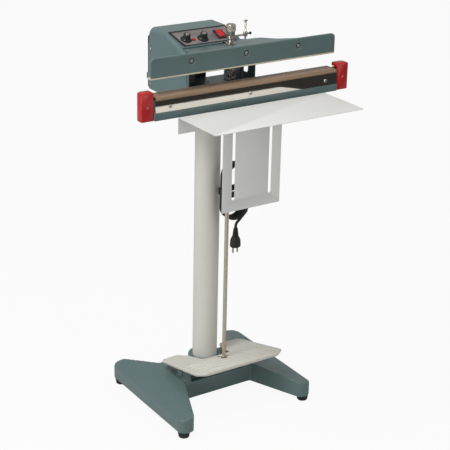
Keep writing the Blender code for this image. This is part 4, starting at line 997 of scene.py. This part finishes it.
def make_dials():
    for name, body, (x, along), turn in (("seal_timer", "seal_dial", SEAL_KNOB, 2.3),
                                         ("cooling_timer", "cooling_dial", COOL_KNOB, 1.9)):
        base = PANEL_FACE + 0.0003
        skirt = [(0.0119, 0.0), (0.0125, 0.0005), (0.0124, 0.0016), (0.0117, 0.0027), (0.0098, 0.0034)]
        grip = [(0.0090, 0.0036), (0.0088, 0.0042), (0.0084, 0.0138), (0.0080, 0.0147), (0.0070, 0.0152)]
        knob = lathe(skirt + grip, (0, 0, 0), sides=144, warp=flutes)
        place = slope_frame(x, along, base)
        piece(moved(knob, place), name + "_dial", "black_plastic", body, (name + "_knob",))
        cap = lathe([(0.0046, 0.0150), (0.0046, 0.0154), (0.0040, 0.0157), (0.0015, 0.0158)], (0, 0, 0),
                    sides=48)
        piece(moved(cap, place), name + "_dial_cap", "nickel", body)
        line = box((-0.0005, 0.0090, 0.0030), (0.0005, 0.0119, 0.0034))
        flag = box((-0.0006, 0.0058, 0.0150), (0.0006, 0.0079, 0.0156))
        pointer = together(line, flag)
        piece(moved(pointer, place @ Matrix.Rotation(turn, 4, "Z")), name + "_dial_pointer", "black_plastic",
              body,
              mat=WHITE_INK)
        ring = lathe([(0.0127, 0), (0.0136, 0), (0.0136, 0.0002), (0.0127, 0.0002)], (0, 0, 0), sides=64)
        piece(moved(ring, slope_frame(x, along, PANEL_FACE - 0.0001)), name + "_scale_ring", "panel_plate",
              mat=BLACK_INK)
    lens = lathe([(0.0029, -0.002), (0.0030, 0.0), (0.0044, 0.0003), (0.0045, 0.0012), (0.0040, 0.0026),
                  (0.0028, 0.0036), (0.0012, 0.0040)], (0, 0, 0), sides=40)
    piece(moved(lens, slope_frame(*LAMP, PANEL_FACE + 0.0002)), "indicator_lens", "red_lens",
          replaces=("indicator_lamp",))
    soft_piece("switch_bezel", "rocker_bezel", "black_plastic", 0.0004)
    half = 0.0112
    pad = rounded([(-half, -0.002, 0), (half, -0.002, 0), (half, 0.0062, 0.0006), (0.0, 0.0036, 0.012),
                   (-half, 0.0036, 0.0006)], 8)
    rocker = soften(plate(pad, -0.0080, 0.0080, "X"), 0.0003, 2)
    piece(moved(rocker, slope_frame(*ROCKER, 0.0015)), "rocker_paddle", "red_lens", "rocker",
          ("power_rocker",))


# ---------------------------------------------------------------- jaws
STRIP_SCREWS = (-0.210, 0.002, 0.215)
STRIP_SCREW_HEIGHT = 0.834
JAW_SCREWS = (-0.145, 0.0, 0.145)
JAW_SCREW_HEIGHT = 0.923
CAP_SCREW = (0.267, 0.837)


def make_lower_jaw():
    cast_piece("lower_jaw", "lower_jaw_body", "hammertone_paint", 0.0009, 2, 0.3)
    low, high = local("cloth_clamp_strip")
    lean = 0.0024
    profile = [(low.y, low.z + 0.0004), (low.y + 0.0004, low.z), (high.y, low.z), (high.y, high.z),
               (low.y + lean + 0.0003, high.z), (low.y + lean, high.z - 0.0004)]
    strip = plate(shifted(profile), low.x, high.x, "X")
    for x in STRIP_SCREWS:
        strip = cut(strip, rod(at(x, low.y - 0.01, STRIP_SCREW_HEIGHT),
                               at(x, low.y + 0.01, STRIP_SCREW_HEIGHT),
                               0.0023, 24))
    piece(strip, "cloth_clamp_bar", "dark_polished_steel", replaces=("cloth_clamp_strip",), angle=15)
    for number, x in enumerate(STRIP_SCREWS):
        screw(at(x, low.y + 0.0008, STRIP_SCREW_HEIGHT), (0, -1, 0), 0.0040, 0.0024,
              f"clamp_screw_{number + 1}")
    make_cloth()
    soft_piece("heater_bar", "heater_bar_core", "insulating_board", 0.0006)
    soft_piece("heating_element", "heating_ribbon", "nickel", 0.0001, 1)
    for side, word in SIDES:
        make_cap(side, word)
        soft_piece("element_terminal_" + word, "terminal_block_" + word, "copper", 0.0006)
        x, y, _ = middle_of("jaw_mount_bolt_" + word)
        bottom = local("jaw_mount_bolt_" + word)[0].z
        hexagon(at(x, y, 0.8283), (0, 0, 1), 0.011, 0.0052, "mount_bolt_head_" + word)
        shank = lathe([(0.0024, bottom), (0.0030, bottom + 0.0008), (0.0030, 0.8284)], at(x, y, 0), sides=32)
        piece(shank, "mount_bolt_shank_" + word, "steel", replaces=("jaw_mount_bolt_" + word,))
        screw(at(side * 0.045, -0.112, 0.8282), (0, 0, 1), 0.0052, 0.0036, "inner_mount_screw_" + word)
        screw(at(side * 0.060, -0.168, 0.8006), (0, 0, -1), 0.0036, 0.0022, "bracket_screw_" + word)


def make_cloth():
    """The release cloth: stretched over the heater bar and tucked down its front and back."""
    low, high = local("release_cloth")
    front, back, top = low.y + 0.0001, high.y - 0.0001, high.z - 0.0001
    section = [(front + 0.0002, low.z + 0.0002), (front, low.z + 0.003)]
    turns = [math.pi / 2 * k / 10 for k in range(11)]
    section += [(front + 0.006 * (1 - math.cos(t)), top - 0.006 * (1 - math.sin(t))) for t in turns]
    section += [(back - 0.004 * (1 - math.sin(t)), top - 0.004 * (1 - math.cos(t))) for t in turns]
    section.append((back, 0.8530))
    columns = 160
    bm = bmesh.new()
    rows = []
    for k in range(columns + 1):
        x = low.x + (high.x - low.x) * k / columns
        row = []
        for m, (y, z) in enumerate(section):
            ripple = 0.00007 * math.sin(31 * x + 1.3 * m) + 0.00005 * math.sin(83 * x + 0.7 * m)
            row.append(bm.verts.new(at(x, y + abs(ripple) * 0.5, z - abs(ripple))))
        rows.append(row)
    for a, b in zip(rows, rows[1:]):
        for m in range(len(section) - 1):
            bm.faces.new((a[m], a[m + 1], b[m + 1], b[m]))
    cloth = from_bmesh(bm)
    thick = cloth.modifiers.new("thick", "SOLIDIFY")
    thick.thickness = 0.0002
    thick.offset = -1
    cloth = evaluated(cloth)
    piece(cloth, "release_cloth_sheet", "release_cloth", replaces=("release_cloth",), angle=50)


def make_cap(side, word):
    low, high = local("end_cap_" + word)
    inner, outer = (high.x, low.x) if side < 0 else (low.x, high.x)
    block = box(at(*low), at(*high))
    corner = Vector((outer, high.y + POST_Y))
    round_edges(block, 0.011, lambda edge: all((vert.co.xy - corner).length < 1e-5 for vert in edge.verts))
    block = soften(block, 0.0034, 4)
    a, b = sorted((inner - side * 0.02, inner + side * 0.0097))
    block = cut(block, box(at(a, -0.169, 0.80), at(b, -0.12, 0.8615)))
    x, z = side * CAP_SCREW[0], CAP_SCREW[1]
    block = cut(block, rod(at(x, -0.18, z), at(x, -0.1705, z), 0.0036, 32))
    piece(soften(block, 0.0005, 2, 50), "cap_" + word, "red_plastic", replaces=("end_cap_" + word,))
    screw(at(x, -0.1706, z), (0, -1, 0), 0.0031, 0.0018, "cap_screw_" + word)


def make_upper_jaw():
    cast_piece("upper_jaw_arm", "upper_arm_casting", "hammertone_paint", 0.00095, 3, 0.32, "upper_arm")
    soft_piece("silicone_pad", "silicone_pad_strip", "silicone_rubber", 0.0006, body="upper_arm")
    face = local("upper_jaw_arm")[0].y
    end = local("silicone_pad")[1].x
    base = 0.894
    lip = rounded([(face - 0.0005, base - 0.0008, 0.0006), (face + 0.0012, base - 0.0008, 0.0003),
                   (face + 0.0012, base + 0.0024, 0.0003), (face - 0.0005, base + 0.0024, 0.0006)], 5)
    piece(plate(shifted(lip), -end, end, "X"), "silicone_pad_lip", "silicone_rubber", "upper_arm")
    for number, x in enumerate(JAW_SCREWS):
        # A near-black ring at the bottom of each screw recess in the jaw face: painted shade standing in for
        # the recess's shadow. Its material overrides the black_plastic slot.
        ring = lathe([(0.0040, 0.0), (0.0066, 0.0), (0.0066, 0.0005), (0.0040, 0.0006)],
                     at(x, face + 0.0031, JAW_SCREW_HEIGHT), (0, -1, 0), 40)
        piece(ring, f"jaw_recess_painted_shade_{number + 1}", "black_plastic", "upper_arm", mat=RECESS_PAINTED_SHADE)
        screw(at(x, face + 0.0028, JAW_SCREW_HEIGHT), (0, -1, 0), 0.0044, 0.0028, f"jaw_screw_{number + 1}",
              "upper_arm")
    low, high = local("arm_pivot_shaft")
    _, y, z = middle_of("arm_pivot_shaft")
    shaft = lathe([(0.0045, low.x), (0.0050, low.x + 0.0006), (0.0050, 0.0995), (0.0050, 0.1003),
                   (0.0086, 0.1005),
                   (0.0090, 0.1010), (0.0090, high.x - 0.0008), (0.0080, high.x)], at(0, y, z), (1, 0, 0), 40)
    piece(shaft, "arm_shaft_bar", "steel", replaces=("arm_pivot_shaft",))
    for word in ("left", "right"):
        soft_piece("shaft_collar_" + word, "arm_collar_" + word, "steel", 0.0005)
        screw(at(middle_of("shaft_collar_" + word).x, y - 0.0108, z), (0, -1, 0), 0.0020, 0.0008,
              "collar_screw_" + word, cross=False)


# ---------------------------------------------------------------- rod, adjuster and springs
ROD_Y = -0.090
ROD_RADIUS = 0.0050
THREAD_START = 0.8600


def spring(centre, radius, bottom, top, turns, wire, name, body, node):
    """A compression spring whose end coils close up and lie flat."""
    steps = 28
    count = int(turns * steps)
    low, high = bottom + wire, top - wire
    points = []
    for k in range(count + 1):
        t = k / count
        angle = TAU * k / steps
        ease = t + math.sin(TAU * t) * -0.55 / TAU if turns > 4 else t
        points.append(at(centre[0] + radius * math.cos(angle), centre[1] + radius * math.sin(angle),
                         low + (high - low) * ease))
    return piece(evaluated(tube(points, wire, name, 3)), name, "steel", body, (node,), 60)


def thread(x, y, low, high, radius, pitch):
    """A screw thread: a stem with a helical ridge."""
    steps = 20
    rows = int((high - low) / pitch * steps)
    bm = bmesh.new()
    rings = []
    for k in range(rows + 1):
        z = low + (high - low) * k / rows
        ring = []
        for m in range(steps):
            angle = TAU * m / steps
            phase = ((z - low) / pitch - m / steps) % 1.0
            reach = radius - 0.12 * radius * abs(2 * phase - 1)
            ring.append(bm.verts.new(at(x + reach * math.cos(angle), y + reach * math.sin(angle), z)))
        rings.append(ring)
    for a, b in zip(rings, rings[1:]):
        for m in range(steps):
            n = (m + 1) % steps
            bm.faces.new((a[m], a[n], b[n], b[m]))
    bm.faces.new(rings[0])
    bm.faces.new(rings[-1])
    return from_bmesh(bm, "thread")


def make_rod():
    low, high = local("pull_rod")
    y = ROD_Y
    bar = copy_of("pull_rod")
    eye_top = 0.112
    bar = cut(bar, box(at(-0.02, y - 0.02, eye_top), at(0.02, y + 0.02, high.z + 0.02)))
    bar = cast(bar, 0.0006, 3, 0.5)
    piece(bar, "rod_eye_end", "nickel", "rod", ("pull_rod",), 60)
    stem = lathe([(ROD_RADIUS, eye_top - 0.0004), (ROD_RADIUS, THREAD_START)], at(0, y, 0), sides=40)
    piece(stem, "rod_stem", "nickel", "rod")
    piece(thread(0, y, THREAD_START, high.z, ROD_RADIUS, 0.0015), "rod_thread", "nickel", "rod", angle=80)
    for word, turn in (("lower", 0.2), ("upper", 0.75)):
        low, high = local("rod_lock_nut_" + word)
        hexagon(at(0, y, low.z), (0, 0, 1), 0.0170, high.z - low.z, "lock_nut_" + word, "rod",
                ("rod_lock_nut_" + word,), "nickel", 0.0051, turn)
    for node, name in (("spring_seat", "seat_washer"), ("spring_washer", "cap_washer")):
        low, high = local(node)
        radius = (high.x - low.x) / 2
        rim = (high.z - low.z) * 0.3
        washer = lathe([(0.0053, low.z), (radius - rim, low.z), (radius, low.z + rim), (radius, high.z - rim),
                        (radius - rim, high.z), (0.0053, high.z)], at(0, y, 0), sides=48)
        piece(washer, name, "nickel", "rod", (node,))
    make_adjuster(y)
    low, high = local("pressure_spring")
    spring((0, y), (high.x - low.x) / 2 - 0.0009, low.z, high.z, 3.5, 0.0009, "pressure_coil", "rod",
           "pressure_spring")
    low, high = local("return_spring")
    coil = spring((0, y), (high.x - low.x) / 2 - 0.0012, low.z, high.z, 8, 0.0012, "return_coil", "root",
                  "return_spring")
    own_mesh(coil)
    make_trip(y)


def make_adjuster(y):
    low, high = local("pressure_adjuster")
    radius = (high.x - low.x) / 2
    bottom, top = low.z, high.z
    waist = top - 0.0165
    profile = [(0.0088, bottom), (0.0095, bottom + 0.0007), (0.0095, waist - 0.0012),
               (radius - 0.0012, waist)]
    rows = 26
    start, end = waist + 0.0006, top - 0.0016
    profile += [(radius - 0.0001, start + (end - start) * k / rows) for k in range(rows + 1)]
    profile += [(radius - 0.0008, top - 0.0007), (radius - 0.0020, top), (0.0060, top),
                (0.0055, top - 0.0006),
                (0.0020, top - 0.0006)]
    ribs = 30

    def knurl(angle, z):
        if not start <= z <= end:
            return 1.0
        climb = (z - start) / 0.0030 * TAU / 2
        a = abs(math.sin(ribs / 2 * angle + climb))
        b = abs(math.sin(ribs / 2 * angle - climb))
        return 1.0 - 0.075 * (1 - min(a, b))

    piece(lathe(profile, at(0, y, 0), sides=180, warp=knurl), "adjuster_knob", "nickel", "adjuster",
          ("pressure_adjuster",), 80)


def make_trip(y):
    cast_piece("trip_arm", "trip_side_arm", "nickel", 0.00045, 3, 0.5, "rod")
    low, high = local("trip_screw")
    x = (low.x + high.x) / 2
    stem = thread(x, y, low.z, high.z - 0.0030, 0.0022, 0.0008)
    piece(stem, "trip_screw_stem", "nickel", "trip", ("trip_screw",), 80)
    half = (high.x - low.x) / 2
    bar = lathe([(0.0010, -half), (0.0017, -half + 0.0006), (0.0017, half - 0.0006), (0.0010, half)],
                at(x, y, high.z - 0.0017), (1, 0, 0), 24)
    head = lathe([(0.0022, high.z - 0.0042), (0.0026, high.z - 0.0038), (0.0026, high.z - 0.0006),
                  (0.0020, high.z)],
                 at(x, y, 0), sides=24)
    piece(together(bar, head), "trip_screw_handle", "nickel", "trip")
    low, high = local("trip_clamp_screw")
    z = (low.z + high.z) / 2
    middle = high.x - 0.0034
    profile = [(0.0008, low.x), (0.0016, low.x + 0.0004), (0.0016, middle - 0.0030)]
    for k in range(9):
        turn = math.radians(-60 + 150 * k / 8)
        profile.append((0.0034 * math.cos(turn), middle + 0.0034 * math.sin(turn)))
    piece(lathe(profile, at(0, y, z), (1, 0, 0), 32), "trip_clamp_ball", "black_plastic", "rod",
          ("trip_clamp_screw",))


# ---------------------------------------------------------------- work table
def make_table():
    low, high = local("work_table")
    sheet = 0.0015
    bend = 0.0028
    back = high.y
    section = [(low.y, high.z), (low.y, high.z - sheet)]
    turns = [math.pi / 2 * k / 6 for k in range(7)]
    inner = bend - sheet
    section += [(back - bend + inner * math.sin(t), high.z - bend + inner * math.cos(t)) for t in turns]
    section += [(back - sheet, low.z), (back, low.z)]
    section += [(back - bend + bend * math.cos(t), high.z - bend + bend * math.sin(t)) for t in turns]
    table = plate(shifted(section), low.x, high.x, "X")
    tongue, flange, corner = 0.081, 0.7725, 0.0055
    for side in (-1, 1):
        a, b = sorted((side * tongue, side * 0.3))
        table = cut(table, box(at(a, back - 0.01, 0.5), at(b, back + 0.01, flange)))
        x = side * 0.051
        slot = rectangle(x - 0.004, 0.589, x + 0.004, 0.7795, 0.0039)
        table = cut(table, plate(slot, back + POST_Y - 0.01, back + POST_Y + 0.01, "Y"))
        front = [(0.1945, low.y - 0.001), (0.21, low.y - 0.001), (0.21, low.y + corner)]
        arc = [(0.1945 + corner * math.sin(t),
                low.y + corner * (1 - math.cos(t))) for t in reversed(turns[1:])]
        table = cut(table, plate([(side * u, v + POST_Y) for u, v in front + arc], 0.80, 0.82))
    table = soften(table, 0.00035, 2, 40)
    piece(table, "work_table_sheet", "white_paint", "table", ("work_table",), 30)
    soft_piece("table_bracket", "table_bracket_angle", "hammertone_paint", 0.0008)
    for side, word in SIDES:
        x, _, z = middle_of("table_bolt_" + word)
        face = -0.1908
        washer = lathe([(0.0033, 0.0), (0.0086, 0.0), (0.0090, 0.0004), (0.0090, 0.0012), (0.0084, 0.0015),
                        (0.0033, 0.0015)], at(x, face, z), (0, -1, 0), 40)
        shank = lathe([(0.0024, -0.0120), (0.0030, -0.0112), (0.0030, 0.0015)], at(x, face, z), (0, -1, 0),
                      32)
        piece(together(washer, shank), "table_bolt_washer_" + word, "steel",
              replaces=("table_bolt_" + word,))
        hexagon(at(x, face - 0.0013, z), (0, -1, 0), 0.010, 0.0048, "table_bolt_head_" + word, spin=0.5)
        hexagon(at(x, -0.1855, z), (0, 1, 0), 0.010, 0.0044, "table_nut_" + word, spin=0.1)


# ---------------------------------------------------------------- electrics
BOARD_FACE = -0.0116


def make_electrics():
    soft_piece("transformer_core", "transformer_stack", "steel", 0.0006, mat=LAMINATIONS)
    soft_piece("transformer_coil", "transformer_winding", "copper", 0.0016, 3)
    piece(copy_of("timer_board"), "timer_circuit", "circuit_board", replaces=("timer_board",))
    upside_down = Matrix.Rotation(math.pi, 4, "X")
    parts = []
    for x, along, radius, tall in ((-0.085, 0.046, 0.0035, 0.009), (-0.072, 0.052, 0.0028, 0.007),
                                   (-0.056, 0.044, 0.0035, 0.010), (-0.030, 0.053, 0.0022, 0.006)):
        can = lathe([(radius * 0.9, 0), (radius, 0.0006), (radius, tall - 0.0008), (radius * 0.85, tall)],
                    (0, 0, 0), sides=24)
        parts.append(moved(can, slope_frame(x, along, BOARD_FACE) @ upside_down))
    chip = soften(box((-0.006, -0.003, 0.0), (0.006, 0.003, 0.003)), 0.0004, 2)
    parts.append(moved(chip, slope_frame(-0.044, 0.053, BOARD_FACE) @ upside_down))
    piece(together(*parts), "timer_components", "black_plastic")
    soft_piece("trip_microswitch", "microswitch_body", "black_plastic", 0.0005)


# ---------------------------------------------------------------- stage
def soft_light(name, place, target, size, power):
    data = bpy.data.lights.new(name, "AREA")
    data.shape = "DISK"
    data.size = size
    data.energy = power
    lamp = linked(name, data)
    way = Vector(target) - Vector(place)
    lamp.matrix_world = Matrix.Translation(place) @ way.to_track_quat("-Z", "Y").to_matrix().to_4x4()


def camera_white(tree, lit, strength):
    """Mix a lit shader with plain white for the camera's own view, as on a lit paper sweep."""
    kind = "ShaderNodeBackground" if lit.bl_idname == "ShaderNodeBackground" else "ShaderNodeEmission"
    white = tree.nodes.new(kind)
    white.inputs["Color"].default_value = (1, 1, 1, 1)
    mix = tree.nodes.new("ShaderNodeMixShader")
    seen = tree.nodes.new("ShaderNodeLightPath").outputs["Is Camera Ray"]
    share = tree.nodes.new("ShaderNodeMath")
    share.operation = "MULTIPLY"
    share.inputs[1].default_value = strength
    tree.links.new(seen, share.inputs[0])
    tree.links.new(share.outputs[0], mix.inputs[0])
    tree.links.new(lit.outputs[0], mix.inputs[1])
    tree.links.new(white.outputs[0], mix.inputs[2])
    output = next(n for n in tree.nodes if n.bl_idname in ("ShaderNodeOutputMaterial",
                                                           "ShaderNodeOutputWorld"))
    tree.links.new(mix.outputs[0], output.inputs["Surface"])


def make_stage():
    bm = bmesh.new()
    bmesh.ops.create_grid(bm, x_segments=2, y_segments=2, size=30)
    floor = from_bmesh(bm, "floor")
    paper = Surface("floor_paper", (0.62, 0.62, 0.62), 0.9)
    paper.tint(paper.spread(paper.noise(0.6, 2), 0.4, 0.7, 0, 0.3), (0.58, 0.58, 0.58))
    camera_white(paper.tree, paper.shader, 0.93)
    floor.data.materials.append(paper.mat)
    floor.location.z = -0.0005
    flag = box((-4.0, -9.0, 0.0), (9.0, -1.4, 0.01))
    flag.name = "black_flag"
    black = Surface("flag_cloth", (0.02, 0.018, 0.015), 0.9)
    black.tint(black.noise(3), (0.03, 0.027, 0.022))
    flag.data.materials.append(black.mat)
    flag.visible_camera = False
    flag.visible_diffuse = False
    flag.visible_shadow = False
    world = bpy.data.worlds.new("studio")
    world.use_nodes = True
    sky = world.node_tree.nodes["Background"]
    sky.inputs["Color"].default_value = (1, 1, 1, 1)
    sky.inputs["Strength"].default_value = 0.42
    camera_white(world.node_tree, sky, 1.0)
    bpy.context.scene.world = world
    bpy.context.scene.view_settings.view_transform = "Standard"
    soft_light("key", (-1.6, -0.3, 3.4), (0, 0, 0.6), 1.3, 62)
    soft_light("side", (-3.2, -0.9, 1.3), (0, 0, 0.5), 1.2, 26)
    soft_light("fill", (1.5, -3.0, 1.8), (0, 0, 0.6), 2.2, 15)


make_camera()
make_lead()
make_stage()
make_base()
make_pedal()
make_cover()
make_panel()
make_lower_jaw()
make_upper_jaw()
make_rod()
make_table()
make_electrics()
